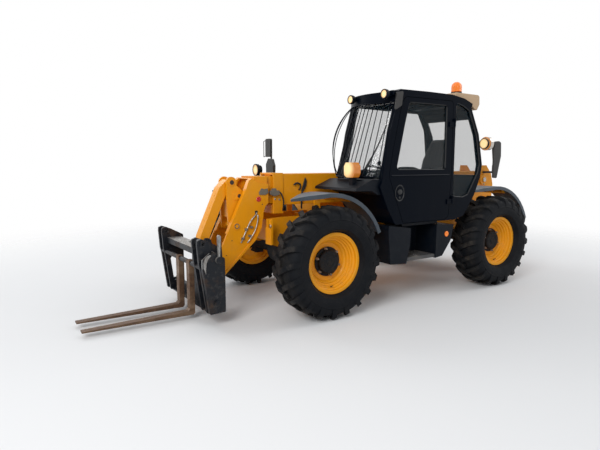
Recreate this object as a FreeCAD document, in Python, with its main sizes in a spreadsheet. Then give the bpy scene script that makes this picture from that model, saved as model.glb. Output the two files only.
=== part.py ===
import FreeCAD, Part
import math
import os
import Sketcher

os.makedirs("parts", exist_ok=True)
doc = FreeCAD.newDocument("telehandler")

# Driving sizes in millimetres and degrees: name, value, meaning.
# Lengths named _y are measured along the machine from the front axle, rearwards positive.
SIZES = [
    ("wheelbase", 2750, "front axle to rear axle"),
    ("front_reach", 2370, "front axle to fork tips"),
    ("rear_reach", 1100, "rear axle to hitch end"),
    ("overall_width", 2280, "over the tyres"),
    ("tyre_radius", 605, "to the lug tips, which is the height of the hubs too"),
    ("tyre_width", 430, "section width"),
    ("lug_depth", 34, "lug tip above the carcass"),
    ("lug_width", 58, "along the tread"),
    ("lug_count", 20, "lugs on one side of a tyre"),
    ("shoulder_drop", 60, "lug tip fall from the crown to the shoulder"),
    ("rim_radius", 305, "bead seat"),
    ("rim_flange", 24, "flange above the bead seat"),
    ("rim_width", 270, "between the flanges"),
    ("rim_wall", 12, "rim plate"),
    ("rim_disc_radius", 205, "outside of the flat disc"),
    ("rim_disc_inset", 15, "disc inboard of the wheel's middle"),
    ("hub_radius", 130, "planetary housing"),
    ("hub_length", 62, "planetary housing outside the disc"),
    ("hub_flange_radius", 160, "flange that the disc is bolted to"),
    ("kingpin_inset", 165, "steering axis inboard of the wheel's middle"),
    ("kingpin_radius", 48, "knuckle barrel"),
    ("knuckle_height", 210, "knuckle barrel"),
    ("yoke_gap", 6, "knuckle to yoke ear"),
    ("yoke_ear", 26, "thickness of a yoke ear"),
    ("axle_radius", 74, "axle tube"),
    ("drive_radius", 172, "drive casing"),
    ("drive_length", 300, "drive casing"),
    ("steer_limit", 35, "each way"),
    ("frame_outer_x", 305, "outside of the chassis side plates"),
    ("frame_plate", 25, "chassis side plate"),
    ("front_lug_reach", 111, "front lug of the chassis outside its side plate"),
    ("frame_low", 470, "underside of the chassis between the axles"),
    ("frame_over_axle", 690, "underside of the chassis over an axle"),
    ("frame_top", 1040, "top of the side plates"),
    ("frame_front_y", -390, "front end of the chassis"),
    ("frame_tail", 810, "rear axle to the rear end of the chassis plates"),
    ("counterweight_half_width", 560, "counterweight"),
    ("tower_inner_x", 166, "inside of a tower plate"),
    ("tower_plate", 36, "tower plate"),
    ("deck_plate", 40, "deck under the towers"),
    ("boom_pivot_back", 750, "rear axle to the lift pivot"),
    ("boom_pivot_z", 1400, "lift pivot"),
    ("boom_pin_radius", 40, "lift pivot pin"),
    ("pin_play", 0.05, "radial play of every pin"),
    ("boom_half_width", 150, "outer boom"),
    ("boom_low_z", 1165, "outer boom underside"),
    ("boom_high_z", 1530, "outer boom top"),
    ("boom_wall", 10, "outer boom plate"),
    ("boom_front_y", -230, "front end of the outer boom"),
    ("boom_tail", 120, "lift pivot to the rear end of the outer boom"),
    ("boom_inner_gap", 14, "inner boom to outer boom plate"),
    ("inner_wall", 10, "inner boom plate"),
    ("inner_tail_back", 600, "rear end of the inner boom to the lift pivot"),
    ("pad_play", 0.5, "wear pad to inner boom"),
    ("boom_stroke", 2300, "extension"),
    ("lift_limit", 66, "highest boom angle"),
    ("nose_half_width", 196, "outside of the nose plates"),
    ("nose_plate", 30, "nose plate"),
    ("nose_flange", 66, "front flange of a nose plate"),
    ("lever_pivot_y", -720, "tilt lever pivot"),
    ("lever_pivot_z", 959, "tilt lever pivot"),
    ("lever_top_y", -735, "tilt link's upper pin"),
    ("lever_top_z", 1443, "tilt link's upper pin"),
    ("carriage_pivot_y", -980, "headstock pivot"),
    ("carriage_pivot_z", 430, "headstock pivot"),
    ("carriage_pin_y", -1050, "tilt link's lower pin"),
    ("carriage_pin_z", 790, "tilt link's lower pin"),
    ("tilt_pin_radius", 26, "pins of the tilt linkage"),
    ("lever_head_radius", 62, "round head of the tilt lever"),
    ("fork_frame_left", 612, "fork frame, from the middle line"),
    ("fork_frame_right", 760, "fork frame, from the middle line"),
    ("fork_spread_left", 200, "left fork from the middle line"),
    ("fork_spread_right", -130, "right fork from the middle line"),
    ("fork_width", 90, "fork"),
    ("fork_thickness", 45, "fork at the heel"),
    ("fork_low_z", 50, "underside of the blades"),
    ("fork_shaft_radius", 26, "shaft that the forks hang on"),
    ("lift_eye_back", 1100, "lift rod eye to the lift pivot, along the boom"),
    ("lift_eye_z", 1070, "lift rod eye"),
    ("lift_base_back", 100, "lift barrel eye to the lift pivot, along the machine"),
    ("lift_base_z", 700, "lift barrel eye"),
    ("lift_barrel_radius", 66, "lift barrel"),
    ("lift_rod_radius", 38, "lift rod"),
    ("lift_pin_radius", 28, "lift pins"),
    ("cab_inner_x", 192, "right side of the cab, beside the boom"),
    ("cab_outer_x", 1020, "left side of the cab"),
    ("cab_wall", 45, "posts and walls"),
    ("cab_round", 40, "corners of the cab's outline"),
    ("window_round", 45, "corners of the windows"),
    ("cab_roof_z", 2478, "top of the roof"),
    ("cab_floor_z", 950, "underside of the cab"),
    ("belt_z", 1530, "bottom edge of the door window"),
    ("roof_thickness", 50, "roof panel"),
    ("door_gap", 6, "door to its frame"),
    ("door_thickness", 40, "door"),
    ("glass_thickness", 6, "every pane"),
    ("glass_play", 0.3, "pane to its seat"),
    ("guard_radius", 738, "mudguard arc about the hub"),
    ("guard_thickness", 12, "mudguard"),
    ("guard_lip", 46, "outer lip of a mudguard"),
    ("guard_inner_x", 640, "inner edge of a mudguard"),
    ("guard_outer_x", 1010, "outer edge of a mudguard"),
    ("engine_inner_x", -330, "inboard side of the engine bay"),
    ("engine_outer_x", -1040, "outer side of the engine bay"),
    ("engine_front_y", 745, "front of the engine bay"),
    ("engine_rear_gap", 760, "rear of the engine bay to the rear axle"),
    ("engine_floor_z", 700, "underside of the engine tray"),
    ("bonnet_top_z", 1400, "top of the bonnet at its hinge"),
    ("bonnet_wall", 22, "bonnet panel"),
]

sheet = doc.addObject("Spreadsheet::Sheet", "sizes")
for row, (name, number, meaning) in enumerate(SIZES, start=1):
    sheet.set(f"A{row}", name)
    sheet.set(f"B{row}", str(number))
    sheet.set(f"C{row}", meaning)
    sheet.setAlias(f"B{row}", name)
doc.recompute()


class Value:
    """A length that is a number for drawing and a cell formula for binding."""

    def __init__(self, number, formula):
        self.number = float(number)
        self.formula = formula

    def __add__(self, other):
        return join(self, "+", other, self.number + number_of(other))

    def __sub__(self, other):
        return join(self, "-", other, self.number - number_of(other))

    def __mul__(self, other):
        return join(self, "*", other, self.number * number_of(other))

    def __truediv__(self, other):
        return join(self, "/", other, self.number / number_of(other))

    def __radd__(self, other):
        return join(other, "+", self, number_of(other) + self.number)

    def __rsub__(self, other):
        return join(other, "-", self, number_of(other) - self.number)

    def __rmul__(self, other):
        return join(other, "*", self, number_of(other) * self.number)

    def __neg__(self):
        return join(0, "-", self, -self.number)


def number_of(value):
    return value.number if isinstance(value, Value) else float(value)


def formula_of(value):
    return value.formula if isinstance(value, Value) else repr(float(value))


def join(left, sign, right, number):
    return Value(number, f"({formula_of(left)} {sign} {formula_of(right)})")


class Sizes:
    """The sheet's cells by name."""


size = Sizes()
for name, number, meaning in SIZES:
    setattr(size, name, Value(number, f"sizes.{name}"))

nodes = {}
serial = [0]


def fresh(stem):
    """A new object name."""
    serial[0] += 1
    return f"{stem}_{serial[0]}"


def bind(item, path, value):
    """Tie a property to the sheet, or set it where it is a plain number."""
    if isinstance(value, Value):
        item.setExpression(path, value.formula)
    else:
        item.setExpression(path, repr(float(value)))


def place(item, x=0, y=0, z=0):
    """Put an object at a point."""
    bind(item, ".Placement.Base.x", x)
    bind(item, ".Placement.Base.y", y)
    bind(item, ".Placement.Base.z", z)
    return item


PLANES = {"X": "YZ_Plane", "Y": "XZ_Plane", "Z": "XY_Plane"}


def draw(sketch, points):
    """Fill a sketch with a closed polygon whose corners are tied to the sheet."""
    corners = [FreeCAD.Vector(number_of(u), number_of(v), 0) for u, v in points]
    sketch.addGeometry([Part.LineSegment(a, b) for a, b in zip(corners, corners[1:] + corners[:1])], False)
    count = len(points)
    sketch.addConstraint([
        Sketcher.Constraint("Coincident", index, 2, (index + 1) % count, 1) for index in range(count)
    ])
    for index, (u, v) in enumerate(points):
        for kind, value in (("DistanceX", u), ("DistanceY", v)):
            rule = sketch.addConstraint(Sketcher.Constraint(kind, -1, 1, index, 1, number_of(value)))
            if isinstance(value, Value):
                sketch.setExpression(f"Constraints[{rule}]", value.formula)


def outline(body, axis, level, points):
    """A closed polygon sketch across an axis; points are the other two coordinates, in X, Y, Z order."""
    sketch = body.newObject("Sketcher::SketchObject", fresh("outline"))
    plane = [item for item in body.Origin.OriginFeatures if item.Role == PLANES[axis]][0]
    sketch.AttachmentSupport = [(plane, "")]
    sketch.MapMode = "FlatFace"
    bind(sketch, ".AttachmentOffset.Base.z", -level if axis == "Y" else level)
    draw(sketch, points)
    return sketch


def prism(axis, low, high, points):
    """A polygon drawn across an axis and filled from low to high along it."""
    body = doc.addObject("PartDesign::Body", fresh("prism"))
    sketch = outline(body, axis, low, points)
    feature = body.newObject("PartDesign::Pad", fresh("fill"))
    feature.Profile = sketch
    feature.Type = 0
    bind(feature, "Length", high - low)
    feature.Reversed = axis == "Y"
    body.Tip = feature
    return body


def turned(axis, points):
    """A ring or disc turned about an axis through the origin; points are (along the axis, radius)."""
    body = doc.addObject("PartDesign::Body", fresh("turned"))
    sketch = outline(body, "Z" if axis == "X" else "X", 0, points)
    feature = body.newObject("PartDesign::Revolution", fresh("turn"))
    feature.Profile = sketch
    feature.ReferenceAxis = (sketch, ["H_Axis"])
    feature.Angle = 360
    body.Tip = feature
    return body


def box(x_low, x_high, y_low, y_high, z_low, z_high):
    """A block between three pairs of faces."""
    item = doc.addObject("Part::Box", fresh("block"))
    bind(item, "Length", x_high - x_low)
    bind(item, "Width", y_high - y_low)
    bind(item, "Height", z_high - z_low)
    return place(item, x_low, y_low, z_low)


TURNS = {"X": FreeCAD.Rotation(0, 90, 0), "Y": FreeCAD.Rotation(0, 0, -90), "Z": FreeCAD.Rotation(0, 0, 0)}


def rod(axis, low, high, centre, radius):
    """A round bar along an axis; centre gives the other two coordinates, in X, Y, Z order."""
    item = doc.addObject("Part::Cylinder", fresh("bar"))
    bind(item, "Radius", radius)
    bind(item, "Height", high - low)
    item.Placement = FreeCAD.Placement(FreeCAD.Vector(), TURNS[axis])
    first, second = centre
    spots = {"X": (low, first, second), "Y": (first, low, second), "Z": (first, second, low)}
    return place(item, *spots[axis])


def strut(start, end, radius):
    """A round bar from point to point."""
    tip = FreeCAD.Vector(*[number_of(b) - number_of(a) for a, b in zip(start, end)])
    item = doc.addObject("Part::Cylinder", fresh("bar"))
    bind(item, "Radius", radius)
    item.Height = tip.Length
    item.Placement = FreeCAD.Placement(FreeCAD.Vector(), FreeCAD.Rotation(FreeCAD.Vector(0, 0, 1), tip))
    return place(item, *start)


def fuse(*pieces):
    """Pieces welded into one."""
    item = doc.addObject("Part::MultiFuse", fresh("weld"))
    item.Shapes = list(pieces)
    item.Refine = True
    return item


def cut(base, *tools):
    """A piece with others taken out of it."""
    tool = tools[0] if len(tools) == 1 else fuse(*tools)
    item = doc.addObject("Part::Cut", fresh("cut"))
    item.Base = base
    item.Tool = tool
    item.Refine = True
    return item


def mirrored(source, plane="X"):
    """The same piece on the other side of the middle line."""
    item = doc.addObject("Part::Mirroring", fresh("mirror"))
    item.Source = source
    item.Normal = FreeCAD.Vector(1, 0, 0) if plane == "X" else FreeCAD.Vector(0, 1, 0)
    return item


def set_of(*pieces):
    """Pieces of one kind kept as separate solids."""
    item = doc.addObject("Part::Compound", fresh("set"))
    item.Links = list(pieces)
    return item


# The part's origin is on the ground, halfway between the fork tips and the hitch.
front_axle_y = (size.front_reach - size.wheelbase - size.rear_reach) / 2


def node(label, item, x=0, y=0, z=0):
    """Name a finished piece and set it in the machine's frame."""
    if label in nodes:
        raise ValueError(label)
    whole = set_of(item)
    whole.Label = label
    place(whole, x, front_axle_y + y, z)
    nodes[label] = whole

SKETCH_TURNS = {
    "X": FreeCAD.Rotation(FreeCAD.Vector(1, 1, 1), 120),
    "Y": FreeCAD.Rotation(FreeCAD.Vector(1, 0, 0), 90),
    "Z": FreeCAD.Rotation(),
}
DIRECTIONS = {
    "X": FreeCAD.Vector(1, 0, 0),
    "Y": FreeCAD.Vector(0, 1, 0),
    "Z": FreeCAD.Vector(0, 0, 1),
}


def grown(axis, low, high, points, growth):
    """A prism whose outline stands out from the given polygon by a margin, or inside it by a negative one."""
    sketch = doc.addObject("Sketcher::SketchObject", fresh("outline"))
    sketch.Placement = FreeCAD.Placement(FreeCAD.Vector(), SKETCH_TURNS[axis])
    draw(sketch, points)
    ring = doc.addObject("Part::Offset2D", fresh("margin"))
    ring.Source = sketch
    ring.Join = 2
    bind(ring, "Value", growth)
    item = doc.addObject("Part::Extrusion", fresh("fill"))
    item.Base = ring
    item.DirMode = "Custom"
    item.Dir = DIRECTIONS[axis]
    item.Solid = True
    bind(item, "LengthFwd", high - low)
    return place(item, *[low if name == axis else 0 for name in "XYZ"])


def rounded(axis, low, high, points, radius, growth=0):
    """A prism whose outline stands out from the polygon by a growth and has its corners rounded."""
    sketch = doc.addObject("Sketcher::SketchObject", fresh("outline"))
    sketch.Placement = FreeCAD.Placement(FreeCAD.Vector(), SKETCH_TURNS[axis])
    draw(sketch, points)
    core = doc.addObject("Part::Offset2D", fresh("core"))
    core.Source = sketch
    core.Join = 2
    bind(core, "Value", growth - radius)
    ring = doc.addObject("Part::Offset2D", fresh("margin"))
    ring.Source = core
    ring.Join = 0
    bind(ring, "Value", radius)
    item = doc.addObject("Part::Extrusion", fresh("fill"))
    item.Base = ring
    item.DirMode = "Custom"
    item.Dir = DIRECTIONS[axis]
    item.Solid = True
    bind(item, "LengthFwd", high - low)
    return place(item, *[low if name == axis else 0 for name in "XYZ"])


# Places that follow from the sizes

frame_rear_y = size.wheelbase + size.frame_tail
boom_pivot_y = size.wheelbase + size.boom_pivot_back
boom_tail_y = boom_pivot_y + size.boom_tail
inner_tail_y = boom_pivot_y - size.inner_tail_back
lift_eye_y = boom_pivot_y - size.lift_eye_back
lift_base_y = boom_pivot_y - size.lift_base_back
engine_rear_y = size.wheelbase - size.engine_rear_gap

# Wheels

wheel_x = (size.overall_width - size.tyre_width) / 2
kingpin_x = wheel_x - size.kingpin_inset
half_tyre = size.tyre_width / 2
half_rim = size.rim_width / 2
bead = half_rim - 8 - size.glass_play
carcass_radius = size.tyre_radius - size.lug_depth

carcass = turned("X", [
    (-bead, size.rim_radius + size.glass_play),
    (-bead, size.rim_radius + size.rim_flange + 3),
    (20 - half_tyre, size.rim_radius + 62),
    (-half_tyre, size.rim_radius + 130),
    (10 - half_tyre, carcass_radius - 62),
    (38 - half_tyre, carcass_radius - 26),
    (110 - half_tyre, carcass_radius),
    (half_tyre - 110, carcass_radius),
    (half_tyre - 38, carcass_radius - 26),
    (half_tyre - 10, carcass_radius - 62),
    (half_tyre, size.rim_radius + 130),
    (half_tyre - 20, size.rim_radius + 62),
    (bead, size.rim_radius + size.rim_flange + 3),
    (bead, size.rim_radius + size.glass_play),
])
lug_tips = turned("X", [
    (-half_tyre, carcass_radius - 100),
    (3 - half_tyre, size.tyre_radius - size.shoulder_drop - 30),
    (24 - half_tyre, size.tyre_radius - size.shoulder_drop / 2),
    (80 - half_tyre, size.tyre_radius),
    (half_tyre - 80, size.tyre_radius),
    (half_tyre - 24, size.tyre_radius - size.shoulder_drop / 2),
    (half_tyre - 3, size.tyre_radius - size.shoulder_drop - 30),
    (half_tyre, carcass_radius - 100),
])
lug = prism("Z", carcass_radius - 110, size.tyre_radius + 30, [
    (-14, -54 - size.lug_width / 2),
    (-14, -54 + size.lug_width / 2),
    (half_tyre / 2, 8 + size.lug_width / 2),
    (half_tyre + 4, 52 + size.lug_width / 2),
    (half_tyre + 4, 52 - size.lug_width / 2),
    (half_tyre / 2, 8 - size.lug_width / 2),
])
pattern = lug.newObject("PartDesign::PolarPattern", "lug_ring")
pattern.Originals = [lug.Tip]
pattern.Axis = ([item for item in lug.Origin.OriginFeatures if item.Role == "X_Axis"][0], [""])
pattern.Angle = 360
bind(pattern, "Occurrences", size.lug_count)
lug.Tip = pattern
other_lugs = mirrored(lug)
other_lugs.Placement = FreeCAD.Placement(FreeCAD.Vector(), FreeCAD.Rotation(FreeCAD.Vector(1, 0, 0), 9))
other_lugs.setExpression(".Placement.Rotation.Angle", "180 / sizes.lug_count")
lugs = doc.addObject("Part::Common", "lugs")
lugs.Base = set_of(lug, other_lugs)
lugs.Tool = lug_tips
tyre = fuse(carcass, lugs)

edge = 8
disc_face = -size.rim_disc_inset
rim = turned("X", [
    (half_rim, size.rim_radius + size.rim_flange),
    (half_rim - edge, size.rim_radius + size.rim_flange),
    (half_rim - edge, size.rim_radius),
    (half_rim - 60, size.rim_radius),
    (half_rim - 85, size.rim_radius - 20),
    (60 - half_rim, size.rim_radius - 20),
    (40 - half_rim, size.rim_radius),
    (edge - half_rim, size.rim_radius),
    (edge - half_rim, size.rim_radius + size.rim_flange),
    (-half_rim, size.rim_radius + size.rim_flange),
    (-half_rim, size.rim_radius - size.rim_wall),
    (34 - half_rim, size.rim_radius - size.rim_wall),
    (52 - half_rim, size.rim_radius - 20 - size.rim_wall),
    (disc_face - 40, size.rim_radius - 20 - size.rim_wall),
    (disc_face - size.rim_wall, size.rim_disc_radius),
    (disc_face - size.rim_wall, size.hub_radius - 16),
    (disc_face, size.hub_radius - 16),
    (disc_face, size.rim_disc_radius),
    (disc_face + 22, size.rim_disc_radius + 14),
    (disc_face + 30, size.rim_radius - 74),
    (disc_face + 52, size.rim_radius - 68),
    (disc_face + 56, size.rim_radius - 52),
    (disc_face + 80, size.rim_radius - 46),
    (disc_face + 84, size.rim_radius - 34),
    (half_rim - 46, size.rim_radius - 30),
    (half_rim - 36, size.rim_radius - 14),
    (half_rim - 8, size.rim_radius - size.rim_wall),
    (half_rim, size.rim_radius + 2),
])
spindle_radius = 55
hub_back = disc_face - 78
hub = turned("X", [
    (hub_back, spindle_radius + size.pin_play),
    (hub_back, size.hub_radius - 34),
    (disc_face, size.hub_radius - 34),
    (disc_face, size.hub_flange_radius),
    (disc_face + 16, size.hub_flange_radius),
    (disc_face + 18, size.hub_radius),
    (disc_face + size.hub_length - 14, size.hub_radius),
    (disc_face + size.hub_length, size.hub_radius - 14),
    (disc_face + size.hub_length, 78),
    (disc_face + size.hub_length - 7, 74),
    (disc_face + size.hub_length - 7, 40),
    (disc_face + size.hub_length, 36),
    (disc_face + size.hub_length, 0),
    (disc_face - 6, 0),
    (disc_face - 6, spindle_radius + size.pin_play),
])

# Axles and knuckles

yoke_low = size.knuckle_height / 2 + size.yoke_gap
yoke_high = yoke_low + size.yoke_ear
king_radius = 20
king_depth = 40
tube_end = kingpin_x - 100
casing = turned("X", [
    (-tube_end, 0),
    (-tube_end, size.axle_radius),
    (-size.drive_length / 2 - 80, size.axle_radius),
    (-size.drive_length / 2, size.drive_radius - 24),
    (40 - size.drive_length / 2, size.drive_radius),
    (size.drive_length / 2 - 40, size.drive_radius),
    (size.drive_length / 2, size.drive_radius - 24),
    (size.drive_length / 2 + 80, size.axle_radius),
    (tube_end, size.axle_radius),
    (tube_end, 0),
])
yoke_parts = [box(tube_end - 30, kingpin_x - 72, -58, 58, -yoke_high, yoke_high)]
for side in (-1, 1):
    ear_low = yoke_low if side > 0 else -yoke_high
    pin_low = yoke_low - king_depth if side > 0 else -yoke_high
    yoke_parts.append(box(kingpin_x - 80, kingpin_x + 46, -46, 46, ear_low, ear_low + size.yoke_ear))
    yoke_parts.append(rod("Z", pin_low, pin_low + king_depth + size.yoke_ear, (kingpin_x, 0), king_radius))
yoke = fuse(*yoke_parts)
seat_high = size.frame_over_axle - size.tyre_radius
seat = box(size.frame_outer_x - 60, size.frame_outer_x + 20, -90, 90, size.axle_radius - 30, seat_high)
axle = fuse(casing, yoke, mirrored(yoke), seat, mirrored(seat))

knuckle = cut(
    fuse(
        rod("Z", -size.knuckle_height / 2, size.knuckle_height / 2, (0, 0), size.kingpin_radius),
        rod("X", 0, wheel_x - kingpin_x + disc_face - 8, (0, 0), spindle_radius),
        rod("X", 36, wheel_x - kingpin_x + hub_back - 6, (0, 0), 92),
    ),
    rod("Z", size.knuckle_height / 2 - king_depth + size.yoke_gap - 4, size.knuckle_height, (0, 0), king_radius + size.pin_play),
    rod("Z", -size.knuckle_height, king_depth - size.yoke_gap + 4 - size.knuckle_height / 2, (0, 0), king_radius + size.pin_play),
)

for end, wheel_y in (("front", 0), ("rear", size.wheelbase)):
    node(f"{end}_axle", axle, 0, wheel_y, size.tyre_radius)
    for side, sign in (("left", 1), ("right", -1)):
        for stem, piece, reach in (
            ("knuckle", knuckle, kingpin_x),
            ("hub", hub, wheel_x),
            ("rim", rim, wheel_x),
            ("tyre", tyre, wheel_x),
        ):
            shown = piece if sign > 0 else mirrored(piece)
            node(f"{stem}_{end}_{side}", shown, sign * reach, wheel_y, size.tyre_radius)

# Chassis

plate_inner = size.frame_outer_x - size.frame_plate
cabin_deck = size.cab_floor_z
side_plate = prism("X", plate_inner, size.frame_outer_x, [
    (size.frame_front_y, 740),
    (size.frame_front_y, 1030),
    (size.frame_front_y + 200, size.frame_top),
    (520, size.frame_top),
    (620, cabin_deck),
    (size.wheelbase - 260, cabin_deck),
    (size.wheelbase - 120, size.frame_top),
    (frame_rear_y, size.frame_top),
    (frame_rear_y, size.frame_low + 60),
    (size.wheelbase + 440, size.frame_low + 60),
    (size.wheelbase + 300, size.frame_over_axle),
    (size.wheelbase - 300, size.frame_over_axle),
    (size.wheelbase - 440, size.frame_low),
    (440, size.frame_low),
    (300, size.frame_over_axle),
    (size.frame_front_y + 180, size.frame_over_axle),
])
deck_high = size.frame_top - 40
deck_low = deck_high - size.deck_plate
tower = prism("X", size.tower_inner_x, size.tower_inner_x + size.tower_plate, [
    (boom_pivot_y - 250, deck_high),
    (boom_pivot_y - 170, size.boom_pivot_z - 80),
    (boom_pivot_y - 70, size.boom_pivot_z + 100),
    (boom_pivot_y - 50, size.boom_pivot_z + 220),
    (boom_pivot_y + 80, size.boom_pivot_z + 220),
    (boom_pivot_y + 200, size.boom_pivot_z + 90),
    (boom_pivot_y + 250, size.boom_pivot_z - 80),
    (boom_pivot_y + 230, deck_high),
])
boss_low = size.tower_inner_x + size.tower_plate
tower = fuse(
    tower,
    rod("X", boss_low - 5, boss_low + 22, (boom_pivot_y, size.boom_pivot_z), size.boom_pin_radius + 45),
    rod("X", boss_low + 20, boss_low + 34, (boom_pivot_y, size.boom_pivot_z), size.boom_pin_radius),
)
deck = box(-plate_inner, plate_inner, boom_pivot_y - 120, boom_pivot_y + 250, deck_low, deck_high)
boom_pin = rod(
    "X", -size.tower_inner_x, size.tower_inner_x, (boom_pivot_y, size.boom_pivot_z), size.boom_pin_radius,
)
node("boom_tower", set_of(deck, tower, mirrored(tower), boom_pin))

lug_x = size.frame_outer_x + size.front_lug_reach
lamp_plate = rounded("Y", size.frame_front_y - 12, size.frame_front_y + 12, [
    (plate_inner, 745),
    (lug_x - 4, 745),
    (lug_x, 985),
    (lug_x - 12, 1034),
    (lug_x - 48, 1034),
    (lug_x - 52, 935),
    (plate_inner, 935),
], 9)
frame_side = fuse(side_plate, lamp_plate)
node("chassis_frame", set_of(frame_side, mirrored(frame_side)))

bulkhead = box(-plate_inner, plate_inner, size.frame_front_y + 105, size.frame_front_y + 130, 745, 990)
floor_plate = box(-plate_inner, plate_inner, 440, size.wheelbase - 440, size.frame_low, size.frame_low + 15)
front_web = box(-plate_inner, plate_inner, 330, 350, size.frame_over_axle, size.frame_top - 20)
rear_plate = box(-plate_inner, plate_inner, frame_rear_y - 25, frame_rear_y, size.frame_low + 60, deck_low)
lift_pin = rod("X", -plate_inner, plate_inner, (lift_base_y, size.lift_base_z), size.lift_pin_radius)
node("chassis_crossmembers", set_of(bulkhead, floor_plate, front_web, rear_plate, lift_pin))

hitch_length = 60
weight_rear_y = size.wheelbase + size.rear_reach - hitch_length
weight_low, weight_high = 480, size.frame_top - 85
hitch_radius = 15.5
weight_x = size.counterweight_half_width
weight_front_y = frame_rear_y - 80
ballast = fuse(
    rounded("Z", weight_low, weight_high, [
        (-weight_x, weight_front_y),
        (-size.frame_outer_x, weight_front_y),
        (-size.frame_outer_x, frame_rear_y),
        (size.frame_outer_x, frame_rear_y),
        (size.frame_outer_x, weight_front_y),
        (weight_x, weight_front_y),
        (weight_x, weight_rear_y),
        (-weight_x, weight_rear_y),
    ], 12),
    box(-60, 60, weight_rear_y - 30, weight_rear_y + hitch_length, 560, 585),
    box(-60, 60, weight_rear_y - 30, weight_rear_y + hitch_length, 660, 685),
)
belly = prism("X", -weight_x - 5, weight_x + 5, [
    (weight_rear_y - 70, weight_low - 5),
    (weight_rear_y + 5, weight_low + 70),
    (weight_rear_y + 5, weight_low - 5),
])
pockets = [
    rounded("Y", weight_rear_y - 24, weight_rear_y + 5, [
        (sign * (weight_x - 40), weight_high - 150),
        (sign * (weight_x - 190), weight_high - 150),
        (sign * (weight_x - 190), weight_high - 60),
        (sign * (weight_x - 40), weight_high - 60),
    ][::sign], 14) for sign in (1, -1)
]
ballast = cut(ballast, belly, *pockets, rod("Z", 540, 700, (0, weight_rear_y + 32), hitch_radius))
node("counterweight", ballast)

# Boom

half = size.boom_half_width
tail_boss = rod("X", -half, half, (boom_pivot_y, size.boom_pivot_z), size.boom_pin_radius + 30)
eye_ear = prism("X", 46, 66, [
    (lift_eye_y - 90, size.boom_low_z),
    (lift_eye_y - 36, size.lift_eye_z - 44),
    (lift_eye_y + 36, size.lift_eye_z - 44),
    (lift_eye_y + 90, size.boom_low_z),
])
collar_front = size.boom_front_y
hollow = box(
    size.boom_wall - half, half - size.boom_wall, collar_front - 10, boom_tail_y - 300,
    size.boom_low_z + size.boom_wall, size.boom_high_z - size.boom_wall,
)
shell = fuse(
    box(-half, half, collar_front, boom_tail_y, size.boom_low_z, size.boom_high_z),
    box(-half - 12, half + 12, collar_front, collar_front + 135, 1065, size.boom_high_z + 12),
    eye_ear, mirrored(eye_ear), tail_boss,
)
pad_low = size.boom_inner_gap - size.pad_play
pads = [
    box(-70, 70, collar_front + 10, collar_front + 110, size.boom_low_z + size.boom_wall, size.boom_low_z + size.boom_wall + pad_low),
    box(-70, 70, collar_front + 10, collar_front + 110, size.boom_high_z - size.boom_wall - pad_low, size.boom_high_z - size.boom_wall),
]
outer_boom = cut(
    fuse(cut(shell, hollow), *pads),
    rod("X", -half - 5, half + 5, (boom_pivot_y, size.boom_pivot_z), size.boom_pin_radius + size.pin_play),
    box(-half - 20, half + 20, collar_front - 5, collar_front + 140, 1000, 1066),
)
node("boom_outer", outer_boom)

inset = size.boom_wall + size.boom_inner_gap
arm_half = half - inset
arm_low = size.boom_low_z + inset
arm_high = size.boom_high_z - inset
arm = cut(
    box(-arm_half, arm_half, -480, inner_tail_y, arm_low, arm_high),
    box(
        size.inner_wall - arm_half, arm_half - size.inner_wall, -200, inner_tail_y - 20,
        arm_low + size.inner_wall, arm_high - size.inner_wall,
    ),
)
nose_inner = size.nose_half_width - size.nose_plate
FLANGE_FOOT = (-833.5, 880)
NOSE = [
    (-560, 1462),
    (-524, 1489),
    (-443, 1437),
    (-316, 1420),
    (-316, 1199),
    (-352, 1168),
    (-376, 1112),
    (-385, 1040),
    (-403, 938),
    (-488, 783),
    (size.carriage_pivot_y + 60, size.carriage_pivot_z - 48),
    (size.carriage_pivot_y - 10, size.carriage_pivot_z - 48),
    (size.carriage_pivot_y - 52, size.carriage_pivot_z),
    (size.carriage_pivot_y - 36, size.carriage_pivot_z + 50),
    (-868, 809),
    FLANGE_FOOT,
    (-610, 1340),
]
nose_plate = prism("X", nose_inner, size.nose_half_width, NOSE)
nose_lip = prism("X", size.nose_half_width - 5, size.nose_half_width + 10, [
    (-403, 938),
    (-488, 783),
    (size.carriage_pivot_y + 60, size.carriage_pivot_z - 48),
    (size.carriage_pivot_y + 30, size.carriage_pivot_z - 48),
    (-520, 792),
    (-430, 945),
])
flange_inner = size.nose_half_width - size.nose_flange
nose_flange = prism("X", flange_inner, nose_inner + 5, [
    FLANGE_FOOT,
    (-610, 1340),
    (-560, 1462),
    (-524, 1489),
    (-503, 1476),
    (-540, 1440),
    (-585, 1330),
    (-808, 868),
])
lever_boss = rod(
    "X", size.nose_half_width - 5, size.nose_half_width + 8, (size.lever_pivot_y, size.lever_pivot_z), size.tilt_pin_radius + 14,
)
side_nose = fuse(nose_plate, nose_lip, nose_flange, lever_boss)
cap_half = nose_inner + 5
nose_cap = prism("X", -cap_half, cap_half, [
    (-536, 1480),
    (-524, 1489),
    (-443, 1437),
    (-443, 1423),
    (-524, 1473),
])
web = fuse(
    box(-nose_inner, nose_inner, -480, -316, arm_low, arm_high),
    box(-nose_inner, nose_inner, -430, -410, 940, arm_low),
    strut((-nose_inner, size.lever_pivot_y, size.lever_pivot_z), (nose_inner, size.lever_pivot_y, size.lever_pivot_z), size.tilt_pin_radius),
    strut((-nose_inner, size.carriage_pivot_y, size.carriage_pivot_z), (nose_inner, size.carriage_pivot_y, size.carriage_pivot_z), size.tilt_pin_radius),
)
inner_pads = [
    box(-70, 70, inner_tail_y - 120, inner_tail_y, arm_high, arm_high + pad_low),
    box(-70, 70, inner_tail_y - 120, inner_tail_y, arm_low - pad_low, arm_low),
]
node("boom_inner", fuse(arm, side_nose, mirrored(side_nose), nose_cap, web, *inner_pads))

# Tilt linkage

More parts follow.
